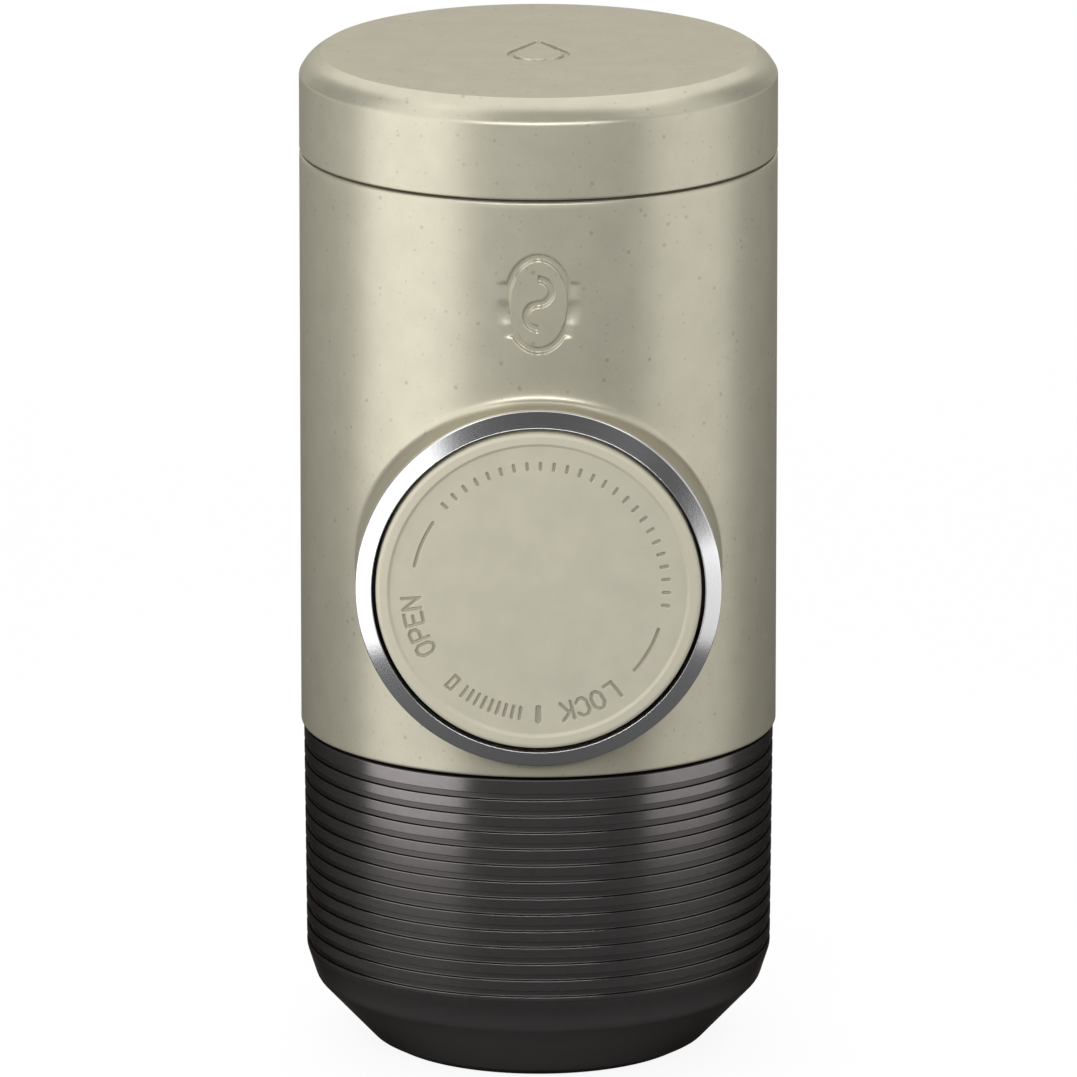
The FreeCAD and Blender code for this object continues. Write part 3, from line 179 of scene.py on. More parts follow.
class FinishSettings(bpy.types.PropertyGroup):
    stone: colour("Stone", "The pale composite of the body, tank and dial", (0.56, 0.53, 0.42))
    speck: colour("Specks", "The brown specks in the pale composite", (0.20, 0.125, 0.07))
    gloss: colour("Cup", "The dark gloss of the cup", (0.25, 0.233, 0.229))
    metal: colour("Bezel", "The bright metal round the dial", (0.83, 0.83, 0.84))
    dark: colour("Dark plastic", "The moulded inner pieces", (0.022, 0.021, 0.021))
    pale: colour("Pale plastic", "The pump's plastic", (0.62, 0.61, 0.57))
    smoke: colour("Smoky plastic", "The tank's vessel", (0.10, 0.10, 0.11))
    rubber: colour("Rubber", "Seals, valves and nozzle", (0.018, 0.018, 0.019))
    steel: colour("Steel", "Screws, plates, rod and spring", (0.56, 0.56, 0.57))
    floor: colour("Floor", "The studio floor", (0.12, 0.12, 0.12))


# Meshes from numpy arrays
def rounded_path(points, steps=5, hold=0.04):
    """A line through (a, b, radius) corners, each rounded by an arc that touches both its sides.

    An arc's centre lies on the bisector, radius / sin(half the corner's angle) from the corner.
    A point is held on each side just before and after the arc, so that flats stay flat in shading.
    """
    given = np.array(points, float)
    out = [given[:1, :2]]
    for before, here, after in zip(given, given[1:], given[2:]):
        corner, radius = here[:2], here[2]
        if radius <= 0:
            out.append(corner[None])
            continue
        to_before = before[:2] - corner
        to_after = after[:2] - corner
        reach = min(np.hypot(*to_before), np.hypot(*to_after))
        to_before = to_before / np.hypot(*to_before)
        to_after = to_after / np.hypot(*to_after)
        half = np.arccos(np.clip(to_before @ to_after, -1, 1)) / 2
        tangent = min(radius / np.tan(half), reach * 0.49)
        start = corner + to_before * tangent
        end = corner + to_after * tangent
        centre = corner + (to_before + to_after) * tangent / (2 * np.cos(half) ** 2)
        first, last = start - centre, end - centre
        turn = np.pi - 2 * half
        share = np.linspace(0, 1, steps + 1)[:, None]
        arc = (np.sin((1 - share) * turn) * first + np.sin(share * turn) * last) / np.sin(turn)
        apart = min(hold, 0.5 * reach - tangent)
        held = [start + to_before * apart, end + to_after * apart]
        out.append(np.vstack([held[:1], centre + arc, held[1:]]))
    out.append(given[-1:, :2])
    return np.vstack(out)


def grid_faces(rows, columns, close_columns=False, first=0):
    """Quads between neighbouring rows and columns of a grid, wrapping round if it is closed."""
    i = np.arange(rows - 1)[:, None]
    j = np.arange(columns if close_columns else columns - 1)[None, :]
    k = (j + 1) % columns
    quads = [i * columns + j, i * columns + k, (i + 1) * columns + k, (i + 1) * columns + j]
    return np.stack(np.broadcast_arrays(*quads), axis=-1).reshape(-1, 4) + first


def mesh_piece(name, points, quads, sharp_deg=40.0):
    """An object from points in mm and quads. Points that coincide are merged, which closes seams
    and poles, and quads that shrink to triangles or less follow."""
    keys = np.round(points / 2e-4).astype(np.int64)
    _, keep, place = np.unique(keys, axis=0, return_index=True, return_inverse=True)
    quads = place.reshape(-1)[quads]
    points = points[keep] * MM
    same = quads == np.roll(quads, -1, axis=1)
    whole = quads[~same.any(axis=1)]
    thin = quads[same.sum(axis=1) == 1]
    folded = thin[np.arange(len(thin))[:, None], kept_corners(same[same.sum(axis=1) == 1])]
    faces = whole.tolist() + folded.tolist()
    mesh = bpy.data.meshes.new(name)
    mesh.from_pydata(points.tolist(), [], faces)
    mesh.validate()
    mesh.shade_smooth()
    mesh.set_sharp_from_angle(angle=math.radians(sharp_deg))
    mesh.update()
    piece = bpy.data.objects.new(name, mesh)
    bpy.context.scene.collection.objects.link(piece)
    return piece


def kept_corners(same):
    """The three corners left of each quad in which one corner equals the next."""
    first = same.argmax(axis=1)
    return np.sort((first[:, None] + np.array([1, 2, 3])) % 4, axis=1)


def about_z(path, columns):
    """A surface of revolution about Z: (radius cos t, radius sin t, height) for t once round."""
    t = np.linspace(0, TAU, columns, endpoint=False)
    radius, height = path[:, :1], path[:, 1:]
    x, y = radius * np.cos(t), radius * np.sin(t)
    z = np.broadcast_to(height, x.shape)
    return np.stack([x, y, z], axis=-1).reshape(-1, 3)


def about_dial(path, columns):
    """A surface of revolution about the dial's axis: (r cos t, depth, axis height + r sin t)."""
    t = np.linspace(0, TAU, columns, endpoint=False)
    radius, depth = path[:, :1], path[:, 1:]
    x, z = radius * np.cos(t), KNOB_Z + radius * np.sin(t)
    y = np.broadcast_to(depth, x.shape)
    return np.stack([x, y, z], axis=-1).reshape(-1, 3)


def closed(path):
    """The path with its first point repeated at its end."""
    return np.vstack([path, path[:1]])


# Engraved lines
def to_segments(u, v, lines):
    """Distance from each (u, v) to the nearest of the given polylines."""
    best = np.full(np.shape(u), 1e9)
    for line in lines:
        corners = np.array(line, float)
        for (a, b), (c, d) in zip(corners, corners[1:]):
            length = max((c - a) ** 2 + (d - b) ** 2, 1e-12)
            share = np.clip(((u - a) * (c - a) + (v - b) * (d - b)) / length, 0, 1)
            away = np.hypot(u - a - share * (c - a), v - b - share * (d - b))
            best = np.minimum(best, away)
    return best


def cut_depth(distance, half_width, wall=0.14):
    """How deep a groove is, from 0 to 1, at a distance from its middle line: flat on its floor and
    a smooth step, 3 s^2 - 2 s^3, up its wall."""
    s = np.clip((half_width + wall / 2 - distance) / wall, 0, 1)
    return s * s * (3 - 2 * s)


LETTERS = {
    "O": [
        [(0.3, 0), (0.7, 0), (1, 0.25), (1, 0.75), (0.7, 1), (0.3, 1), (0, 0.75), (0, 0.25), (0.3, 0)]
    ],
    "P": [[(0, 0), (0, 1), (0.7, 1), (1, 0.85), (1, 0.6), (0.7, 0.45), (0, 0.45)]],
    "E": [[(1, 0), (0, 0), (0, 1), (1, 1)], [(0, 0.52), (0.8, 0.52)]],
    "N": [[(0, 0), (0, 1), (1, 0), (1, 1)]],
    "L": [[(0, 1), (0, 0), (0.9, 0)]],
    "C": [[(1, 0.8), (0.7, 1), (0.3, 1), (0, 0.75), (0, 0.25), (0.3, 0), (0.7, 0), (1, 0.2)]],
    "K": [[(0, 0), (0, 1)], [(0.95, 1), (0, 0.4)], [(0.32, 0.62), (1, 0)]],
}
LETTER_WIDTH = 1.45
LETTER_HEIGHT = 2.3
LETTER_STEP = 2.1


def word(text):
    """Polylines of a word in plain capitals, centred on (0, 0)."""
    lines = []
    start = -LETTER_STEP * (len(text) - 1) / 2 - LETTER_WIDTH / 2
    for k, letter in enumerate(text):
        left = start + k * LETTER_STEP
        for line in LETTERS[letter]:
            lines.append([(left + x * LETTER_WIDTH, (y - 0.5) * LETTER_HEIGHT) for x, y in line])
    return lines


def dial_scale():
    """What is cut round the dial: (bearing in degrees, half width, polylines). Lines run clockwise
    along the scale and outwards across it, both in mm."""
    tick = [[(0, -0.75), (0, 0.75)]]
    bar = [[(0, -0.85), (0, 0.85)]]
    frame_lines = [[(-0.42, -0.9), (0.42, -0.9), (0.42, 0.9), (-0.42, 0.9), (-0.42, -0.9)]]
    half_arc = math.radians(11.0) * MARK_RADIUS
    arc = [[(-half_arc, -0.2), (half_arc, -0.2)]]
    line = LINE_HALF_WIDTH
    marks = [(-90.0 - 8.3 - 3.4 * k, line, tick) for k in range(9)]
    marks.append((-90.0, 0.36, bar))
    marks.append((-90.0 - LOCK_TURN, 0.15, frame_lines))
    marks.append((157.5, line, arc))
    marks.append((-29.5, line, arc))
    marks.append((197.0, line, word("OPEN")))
    marks.append((-66.0, line, word("LOCK")))
    short = [[(0, -0.4), (0, 0.4)]]
    marks += [(137.0 - 6.0 * k, line, short) for k in range(25)]
    return marks


def scale_cut(radius, bearing):
    """How deep the dial's scale is cut at each polar place, from 0 to 1."""
    deepest = np.zeros(np.broadcast_shapes(radius.shape, bearing.shape))
    out = np.broadcast_to(radius - MARK_RADIUS, deepest.shape)
    for degrees, half_width, lines in dial_scale():
        away = (math.radians(degrees) - bearing + np.pi) % TAU - np.pi
        along = np.broadcast_to(away * MARK_RADIUS, deepest.shape)
        reach = max(abs(x) for line in lines for x, _ in line) + 1
        near = np.abs(along) < reach
        depth = np.zeros(deepest.shape)
        depth[near] = cut_depth(to_segments(along[near], out[near], lines), half_width)
        deepest = np.maximum(deepest, depth)
    return deepest


def drop_distance(x, y):
    """Distance from a water drop's outline: a circle joined by two tangents to a point."""
    radius, point = 3.6, 7.65
    y = y + 2.25
    side = math.acos(radius / point)
    touch = (radius * math.sin(side), radius * math.cos(side))
    ring = np.abs(np.hypot(x, y) - radius)
    ring[y > touch[1]] = 1e9
    sides = [[(0, point), touch], [(0, point), (-touch[0], touch[1])]]
    return np.minimum(ring, to_segments(x, y, sides))


def bean_distance(u, v):
    """Distance from a coffee bean's outline, an ellipse, and its crease, an S of two half rings."""
    wide, tall = 4.1, 6.1
    value = (u / wide) ** 2 + (v / tall) ** 2 - 1
    slope = 2 * np.hypot(u / wide**2, v / tall**2) + 1e-9
    outline = np.abs(value) / slope
    bend = 1.625
    centre = np.where(u > 0, bend, -bend)
    crease = np.abs(np.hypot(u, v - centre) - bend)
    return np.minimum(outline, crease)


# Materials
def new_material(name):
    """An empty node material and its shader."""
    material = bpy.data.materials.new(name)
    material.use_nodes = True
    return material, material.node_tree.nodes["Principled BSDF"]


def set_inputs(node, **values):
    """Sets a node's sockets by name, with underscores for spaces."""
    for key, value in values.items():
        node.inputs[key.replace("_", " ")].default_value = value


def place_pattern(tree, kind, **values):
    """A texture node that reads Object coordinates."""
    texture = tree.nodes.new(kind)
    place = tree.nodes.new("ShaderNodeTexCoord")
    tree.links.new(place.outputs["Object"], texture.inputs["Vector"])
    set_inputs(texture, **values)
    return texture


def tinted(shade, gain):
    """A colour times a number, at most 1 in each part."""
    return tuple(min(1, c * gain) for c in shade)


def mixed(tree, factor, first, second):
    """A colour mix of two colours or sockets, by a socket."""
    mix = tree.nodes.new("ShaderNodeMix")
    mix.data_type = "RGBA"
    for socket, value in ((mix.inputs[0], factor), (mix.inputs[6], first), (mix.inputs[7], second)):
        if isinstance(value, bpy.types.NodeSocket):
            tree.links.new(value, socket)
        else:
            socket.default_value = (*value, 1)
    return mix.outputs[2]


def stepped(tree, source, low, high, low_value=0.0, high_value=1.0):
    """A socket's value carried from one range to another, and held at its ends."""
    ramp = tree.nodes.new("ShaderNodeMapRange")
    tree.links.new(source, ramp.inputs["Value"])
    set_inputs(ramp, From_Min=low, From_Max=high, To_Min=low_value, To_Max=high_value)
    return ramp.outputs["Result"]


def computed(tree, operation, first, second):
    """Two sockets put through a Math node."""
    node = tree.nodes.new("ShaderNodeMath")
    node.operation = operation
    tree.links.new(first, node.inputs[0])
    tree.links.new(second, node.inputs[1])
    return node.outputs[0]


def from_line(tree, centre, across):
    """Distance from a line through the centre, in metres: the length of the Object coordinates
    less the centre, times 1 across the line and 0 along it."""
    place = tree.nodes.new("ShaderNodeTexCoord")
    source = place.outputs["Object"]
    for operation, vector in (("SUBTRACT", centre), ("MULTIPLY", across)):
        node = tree.nodes.new("ShaderNodeVectorMath")
        node.operation = operation
        tree.links.new(source, node.inputs[0])
        node.inputs[1].default_value = vector
        source = node.outputs["Vector"]
    length = tree.nodes.new("ShaderNodeVectorMath")
    length.operation = "LENGTH"
    tree.links.new(source, length.inputs[0])
    return length.outputs["Value"]


def bumped(tree, shader, height, strength, distance):
    """A small relief on the shader from a height socket."""
    bump = tree.nodes.new("ShaderNodeBump")
    set_inputs(bump, Strength=strength, Distance=distance)
    tree.links.new(height, bump.inputs["Height"])
    tree.links.new(bump.outputs["Normal"], shader.inputs["Normal"])


def stone_ground(tree, finish, gain=1.0):
    """The pale composite's ground: its colour in faint clouds."""
    ground = tinted(finish.stone, gain)
    light = tinted(ground, 1.07)
    clouds = place_pattern(tree, "ShaderNodeTexNoise", Scale=220.0, Detail=5.0, Roughness=0.6)
    return mixed(tree, stepped(tree, clouds.outputs["Fac"], 0.35, 0.65), ground, light)


def stone_material(finish):
    """Pale composite: a pearly satin ground with fine grain and sparse specks of two sizes."""
    material, shader = new_material("stone composite")
    tree = material.node_tree
    base = stone_ground(tree, finish)
    fine = place_pattern(tree, "ShaderNodeTexNoise", Scale=1800.0, Detail=2.0, Roughness=0.7)
    grain = stepped(tree, fine.outputs["Fac"], 0.62, 0.78, 0.0, 0.16)
    base = mixed(tree, grain, base, tuple(finish.speck))
    for scale, size, share, amount in ((420.0, 0.15, 0.42, 0.30), (900.0, 0.20, 0.66, 0.22)):
        cells = place_pattern(tree, "ShaderNodeTexVoronoi", Scale=scale)
        dots = stepped(tree, cells.outputs["Distance"], size, size * 0.5)
        split = tree.nodes.new("ShaderNodeSeparateColor")
        tree.links.new(cells.outputs["Color"], split.inputs["Color"])
        chosen = stepped(tree, split.outputs["Red"], share, share + 0.02, 0.0, amount)
        base = mixed(tree, computed(tree, "MULTIPLY", dots, chosen), base, tuple(finish.speck))
    tree.links.new(base, shader.inputs["Base Color"])
    set_inputs(shader, Metallic=0.60, Roughness=0.36, Specular_IOR_Level=0.2)
    set_inputs(shader, Specular_Tint=(0.42, 0.40, 0.34, 1))
    bumped(tree, shader, fine.outputs["Fac"], 0.06, 0.0001)
    return material


def dial_material(finish):
    """The dial's composite: the same ground without specks, a lighter rim, and marks painted darker
    as shade in their cuts.
    """
    material, shader = new_material("dial composite")
    tree = material.node_tree
    base = stone_ground(tree, finish, 1.14)
    rim = (DIAL_RADIUS - DIAL_RIM) * MM
    radius = from_line(tree, (0, 0, KNOB_Z * MM), (1, 0, 1))
    light = tinted(finish.stone, 1.26)
    band = stepped(tree, radius, rim - 0.1 * MM, rim + 0.1 * MM)
    base = mixed(tree, band, base, light)
    # Painted shade: the cut marks are painted darker, as shade in their hollows, except near the rim.
    face = (0, (RING_FRONT + DIAL_RECESS) * MM, 0)
    sunk = from_line(tree, face, (0, 1, 0))
    cut = stepped(tree, sunk, 0.05 * MM, 0.2 * MM)
    shade = tinted(finish.stone, 0.86)
    inside = stepped(tree, radius, rim - 0.9 * MM, rim - 0.8 * MM, 1.0, 0.0)
    cut = computed(tree, "MULTIPLY", cut, inside)
    tree.links.new(mixed(tree, cut, base, shade), shader.inputs["Base Color"])
    fine = place_pattern(tree, "ShaderNodeTexNoise", Scale=2400.0, Detail=2.0)
    set_inputs(shader, Metallic=0.0, Roughness=0.42, Specular_IOR_Level=0.3)
    bumped(tree, shader, fine.outputs["Fac"], 0.04, 0.0001)
    return material


def cup_material(finish):
    """Dark metal with a satin gloss. The grooves between the ribs are darker with painted shade, most
    at their edges, where it also hides a glint, and the smooth foot below them is painted paler as a
    painted reflection. Depth is the wall's even taper less the radius."""
    material, shader = new_material("cup gloss")
    tree = material.node_tree
    radius = from_line(tree, (0, 0, 0), (1, 1, 0))
    split = tree.nodes.new("ShaderNodeSeparateXYZ")
    place = tree.nodes.new("ShaderNodeTexCoord")
    tree.links.new(place.outputs["Object"], split.inputs["Vector"])
    height = split.outputs["Z"]
    ends = (CUP_SHOULDER * MM, CUP_HIGH * MM)
    wall = stepped(tree, height, *ends, (CUP_RIM_RADIUS - CUP_TAPER) * MM, CUP_RIM_RADIUS * MM)
    depth = computed(tree, "SUBTRACT", wall, radius)
    # Masks for painted shade: the groove edges, and the groove floors below the wall.
    edge = stepped(tree, depth, 0.008 * MM, 0.02 * MM)
    sunk = stepped(tree, depth, 0.15 * MM, 0.35 * MM)
    ribs = stepped(tree, height, ends[0], ends[0] + 0.1 * MM)
    groove = computed(tree, "MULTIPLY", sunk, ribs)
    edge = computed(tree, "MULTIPLY", edge, ribs)
    # Painted shade in the grooves: the edges get 0.22 of the cup's colour, the floors 0.60.
    dark = tinted(finish.gloss, 0.22)
    painted_groove_shade = tinted(finish.gloss, 0.60)
    cloud = place_pattern(tree, "ShaderNodeTexNoise", Scale=900.0, Detail=3.0)
    warm = tinted(finish.gloss, 1.10)
    base = mixed(tree, stepped(tree, cloud.outputs["Fac"], 0.3, 0.7), tuple(finish.gloss), warm)
    # Painted reflection: the smooth foot below the ribs is painted 2.1 times paler, for the bright
    # reflections it would catch.
    pale = tinted(finish.gloss, 2.1)
    foot = stepped(tree, height, ends[0] - 1.0 * MM, ends[0] - 7.0 * MM)
    base = mixed(tree, foot, base, pale)
    # The painted shade goes on at the groove edges and across the grooves.
    base = mixed(tree, edge, base, dark)
    tree.links.new(mixed(tree, groove, base, painted_groove_shade), shader.inputs["Base Color"])
    tree.links.new(stepped(tree, edge, 0.0, 1.0, 0.22, 0.34), shader.inputs["Roughness"])
    set_inputs(shader, Metallic=1.0, Specular_Tint=(0.34, 0.32, 0.31, 1))
    return material


def plain_material(name, base, **values):
    """One colour, with a fine moulded relief."""
    material, shader = new_material(name)
    set_inputs(shader, Base_Color=(*base, 1), **values)
    grain = place_pattern(material.node_tree, "ShaderNodeTexNoise", Scale=2500.0, Detail=2.0)
    bumped(material.node_tree, shader, grain.outputs["Fac"], 0.05, 0.0001)
    return material


def finish_materials():
    """Every finish by the record's slot."""
    finish = bpy.context.scene.espresso_finish
    kept = bpy.data.materials.get("stone composite")
    if kept is not None:
        return {m["slot"]: m for m in bpy.data.materials if "slot" in m}
    made = {
        "shell_stone": stone_material(finish),
        "cup_gloss": cup_material(finish),
        "chrome": plain_material("bezel chrome", finish.metal, Metallic=1.0, Roughness=0.2),
        "dark_plastic": plain_material("dark plastic", finish.dark, Roughness=0.45),
        "pale_plastic": plain_material("pale plastic", finish.pale, Roughness=0.4),
        "smoke_plastic": plain_material("smoky plastic", finish.smoke, Roughness=0.22),
        "rubber": plain_material("rubber", finish.rubber, Roughness=0.6),
        "steel": plain_material("steel", finish.steel, Metallic=1.0, Roughness=0.3),
    }
    for slot, material in made.items():
        material["slot"] = slot
    return made


def dress(piece, slot, body, node, material=None):
    """Gives a skin its finish, by its slot unless a material is given, rides it on its body and
    stands it for its node.
    """
    piece.data.materials.append(material or finish_materials()[slot])
    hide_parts(node)
    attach(piece, body)


# Operators
class ESPRESSO_OT_tank_cover(bpy.types.Operator):
    """Makes the tank's cover, a bevelled cap with an engraved drop"""

    bl_idname = "espresso.tank_cover"
    bl_label = "Tank Cover"

    def execute(self, context):
        shape = context.scene.espresso_shape
        edge = shape.edge_round / MM
        flat = BODY_RADIUS - TANK_BEVEL
        inner_top = COVER_HIGH - TANK_TOP_WALL
        face = np.linspace(0, 9.0, 91)
        face = np.append(face, np.linspace(10, flat - 2, 8))
        top = np.stack([face, np.full(face.shape, COVER_HIGH)], axis=1)
        outside = rounded_path(
            [
                (flat - 2, COVER_HIGH, 0),
                (flat, COVER_HIGH, edge),
                (BODY_RADIUS - BEVEL_MIDDLE, COVER_HIGH - BEVEL_MIDDLE, 16 * edge),
                (BODY_RADIUS, COVER_HIGH - TANK_BEVEL, 4 * edge),
                (BODY_RADIUS, COVER_LOW, edge),
                (SHELL_INNER, COVER_LOW, edge / 2),
                (SHELL_INNER, COVER_HIGH - TANK_BEVEL - 0.9, 0.4),
                (SHELL_INNER - TANK_BEVEL + 0.9, inner_top, 0.4),
                (0, inner_top, 0),
            ]
        )
        path = np.vstack([top[:-1], outside])
        columns = 384
        points = about_z(path, columns)
        on_top = np.repeat(np.arange(len(path)) < len(top), columns)
        x, y = points[on_top, 0], points[on_top, 1]
        depth = cut_depth(drop_distance(x, y), EMBLEM_HALF_WIDTH, EMBLEM_WALL)
        points[on_top, 2] -= shape.engraving / MM * depth
        piece = mesh_piece("tank_cover_skin", points, grid_faces(len(path), columns, True))
        dress(piece, "shell_stone", "tank", "tank_cover")
        return {"FINISHED"}


class ESPRESSO_OT_body_shell(bpy.types.Operator):
    """Makes the body's shell, with its boss blended in and an engraved bean"""

    bl_idname = "espresso.body_shell"
    bl_label = "Body Shell"

    def execute(self, context):
        shape = context.scene.espresso_shape
        front, front_faces = self.front(shape)
        back, back_faces = self.back(shape, len(front))
        points = np.vstack([front, back])
        quads = np.vstack([front_faces, back_faces])
        piece = mesh_piece("body_shell_skin", points, quads)
        dress(piece, "shell_stone", "body", "body_shell")
        return {"FINISHED"}

    def border(self, edge):
        """The front half's border, once round, in unrolled mm: along the arc, and up. It stops
        where the end roundings start, and the signs say at which end each place is."""
        side = BODY_RADIUS * np.pi / 2
        dense = np.linspace(-BEAN_REACH, BEAN_REACH, 105)
        wide = np.linspace(BEAN_REACH, side, 48)[1:]
        across = np.concatenate([-wide[::-1], dense, wide])
        up = self.side_rows(edge)
        places = np.vstack(
            [
                np.stack([across[::-1], np.full(across.shape, up[-1])], axis=1)[:-1],
                np.stack([np.full(up.shape, -side), up[::-1]], axis=1)[:-1],
                np.stack([across, np.full(across.shape, up[0])], axis=1)[:-1],
                np.stack([np.full(up.shape, side), up], axis=1)[:-1],
            ]
        )
        signs = (places[:, 1] == up[-1]) * 1.0 - (places[:, 1] == up[0])
        return places, signs

    def side_rows(self, edge):
        """Heights of the rows that both halves share, from the dial's axis."""
        return np.linspace(SHELL_LOW + edge - KNOB_Z, SHELL_HIGH - edge - KNOB_Z, 64)

    def end_rounding(self, edge):
        """How far the skin has come in, and gone up, along a quarter circle at each end."""
        turn = np.linspace(0, np.pi / 2, 6)[1:]
        return edge * (1 - np.cos(turn)), edge * np.sin(turn)

    def front(self, shape):
        """Front half: columns run from the boss's bore, out over the boss and its blend, and along
        the skin to the border of a rectangle in unrolled coordinates; then back inside."""
        blend = shape.boss_blend / MM
        edge = shape.edge_round / MM
        ends, signs = self.border(edge)
        bearing = np.arctan2(ends[:, 1], ends[:, 0])
        cos, sin = np.cos(bearing), np.sin(bearing)
        rows = []

        def ring(radius, depth):
            rows.append(np.stack([radius * cos, depth + 0 * cos, KNOB_Z + radius * sin], axis=1))

        def skin_depth(radius, skin):
            return -np.sqrt(skin**2 - (radius * cos) ** 2)

        def run_out(radius, skin, goal, shares):
            x = radius * cos
            start = np.stack([skin * np.arcsin(x / skin), radius * sin], axis=1)
            goal = goal * np.array([skin / BODY_RADIUS, 1])
            for share in shares:
                place = start + share * (goal - start)
                angle = place[:, 0] / skin
                rows.append(
                    np.stack(
                        [skin * np.sin(angle), -skin * np.cos(angle), KNOB_Z + place[:, 1]], axis=1
                    )
                )

        inner_ends = np.stack([ends[:, 0], ends[:, 1] + signs * edge], axis=1)
        run_out(BOSS_BORE, SHELL_INNER, inner_ends, np.linspace(1, 0, 9))
        ring(BOSS_BORE, BOSS_FRONT)
        ring(RING_RADIUS - 0.1, BOSS_FRONT)
        ring(RING_RADIUS, BOSS_FRONT + 0.1)
        wall = skin_depth(RING_RADIUS, BODY_RADIUS)
        slope = RING_RADIUS * cos**2 / -wall
        opening = np.arccos(-slope / np.sqrt(1 + slope**2))
        tangent = blend / np.tan(opening / 2)
        outer = RING_RADIUS + tangent / np.sqrt(1 + slope**2)
        foot = skin_depth(outer, BODY_RADIUS)
        for share in np.linspace(0, 1, 9):
            # quadratic curve from the wall, by the corner, to the skin
            a, b, c = (1 - share) ** 2, 2 * share * (1 - share), share**2
            radius = (a + b) * RING_RADIUS + c * outer
            depth = a * (wall - tangent) + b * wall + c * foot
            ring(radius, depth)
        start_row = len(rows)
        marks_end = (SHELL_HIGH - 6.0 - KNOB_Z - RING_RADIUS) / (SHELL_HIGH - KNOB_Z - RING_RADIUS)
        blended = np.linspace(0, 0.16, 8)[1:]
        marked = np.linspace(0.17, marks_end, 130)
        plain = np.linspace(marks_end, 1, 10)[1:]
        shares = np.concatenate([blended, marked, plain])
        run_out(outer, BODY_RADIUS, ends, shares)
        for inwards, upwards in zip(*self.end_rounding(edge)):
            angle = ends[:, 0] / BODY_RADIUS
            radius = BODY_RADIUS - inwards * np.abs(signs)
            height = KNOB_Z + ends[:, 1] + upwards * signs
            rows.append(np.stack([radius * np.sin(angle), -radius * np.cos(angle), height], axis=1))
        points = np.stack(rows)
        middle = SHELL_HIGH - BEAN_BELOW_TOP
        skin = points[start_row:]
        angle = np.arctan2(skin[..., 0], -skin[..., 1])
        away = bean_distance(angle * BODY_RADIUS, skin[..., 2] - middle)
        depth = cut_depth(away, EMBLEM_HALF_WIDTH, EMBLEM_WALL)
        radius = np.hypot(skin[..., 0], skin[..., 1]) - depth * shape.engraving / MM
        skin[..., 0] = radius * np.sin(angle)
        skin[..., 1] = -radius * np.cos(angle)
        faces = grid_faces(points.shape[0], points.shape[1], True)
        return points.reshape(-1, 3), np.vstack([faces, self.rims(signs, len(rows))])

    def rims(self, signs, rows):
        """Quads that close the top and bottom between the inner and the outer border."""
        columns = len(signs)
        j = np.arange(columns)
        k = (j + 1) % columns
        level = signs[j] * signs[k] > 0
        j, k = j[level], k[level]
        last = (rows - 1) * columns
        return np.stack([last + j, last + k, k, j], axis=1)

    def back(self, shape, first):
        """Back half: the shell's section carried round the axis on the rows of the front half."""
        edge = shape.edge_round / MM
        up = self.side_rows(edge) + KNOB_Z
        inwards, upwards = self.end_rounding(edge)
        foot = np.stack([BODY_RADIUS - inwards, up[0] - upwards], axis=1)[::-1]
        wall = np.stack([np.full(up.shape, BODY_RADIUS), up], axis=1)
        head = np.stack([BODY_RADIUS - inwards, up[-1] + upwards], axis=1)
        inner = np.stack([np.full(up.shape, SHELL_INNER), up[::-1]], axis=1)
        inner[0, 1], inner[-1, 1] = SHELL_HIGH, SHELL_LOW
        path = closed(np.vstack([foot, wall, head, inner]))
        t = np.linspace(0, np.pi, 129)
        x = path[:, :1] * np.cos(t)
        y = path[:, :1] * np.sin(t)
        z = np.broadcast_to(path[:, 1:], x.shape)
        points = np.stack([x, y, z], axis=-1).reshape(-1, 3)
        return points, grid_faces(len(path), len(t), False, first)


class ESPRESSO_OT_bezel(bpy.types.Operator):
    """Makes the bright bezel, a ring with a sloping face"""

    bl_idname = "espresso.bezel"
    bl_label = "Bezel"

    def execute(self, context):
        edge = context.scene.espresso_shape.edge_round / MM
        back = BOSS_FRONT
        path = rounded_path(
            [
                (RING_INNER, back, 0),
                (RING_INNER, RING_FRONT, edge * 0.25),
                (RING_RADIUS, RING_FRONT + RING_SLOPE, edge),
                (RING_RADIUS, back, 0),
            ],
            steps=8,
        )
        path = closed(path)
        columns = 360
        quads = grid_faces(len(path), columns, True)
        piece = mesh_piece("bezel_skin", about_dial(path, columns), quads)
        dress(piece, "chrome", "body", "chrome_ring")
        return {"FINISHED"}


class ESPRESSO_OT_dial(bpy.types.Operator):
    """Makes the dial, a shallow dish in a raised rim with its lock scale cut in"""

    bl_idname = "espresso.dial"
    bl_label = "Dial"

    def execute(self, context):
        shape = context.scene.espresso_shape
        floor = RING_FRONT + DIAL_RECESS
        rim = DIAL_RADIUS - DIAL_RIM
        dense = np.linspace(DIAL_PLAIN, DIAL_DISH, 40)
        face = np.concatenate([np.linspace(0, 14, 8), dense])
        dish = np.stack([face, np.full(face.shape, floor)], axis=1)
        outside = rounded_path(
            [
                (DIAL_DISH, floor, 0),
                (rim - 0.35, floor, 0.25),
                (rim, RING_FRONT, 0.25),
                (DIAL_RADIUS, RING_FRONT, 0.6),
                (DIAL_RADIUS, DIAL_BACK, 0.2),
                (0, DIAL_BACK, 0),
            ]
        )
        path = np.vstack([dish[:-1], outside])
        columns = 1080
        points = about_dial(path, columns)
        on_face = np.repeat(np.arange(len(path)) < len(dish), columns)
        x, z = points[on_face, 0], points[on_face, 2] - KNOB_Z
        depth = scale_cut(np.hypot(x, z), np.arctan2(z, x))
        points[on_face, 1] += shape.engraving / MM * depth
        quads = grid_faces(len(path), columns, True)
        piece = mesh_piece("dial_skin", points, quads)
        smooth = dial_material(context.scene.espresso_finish)
        dress(piece, "shell_stone", "knob", "knob_dial", smooth)
        return {"FINISHED"}


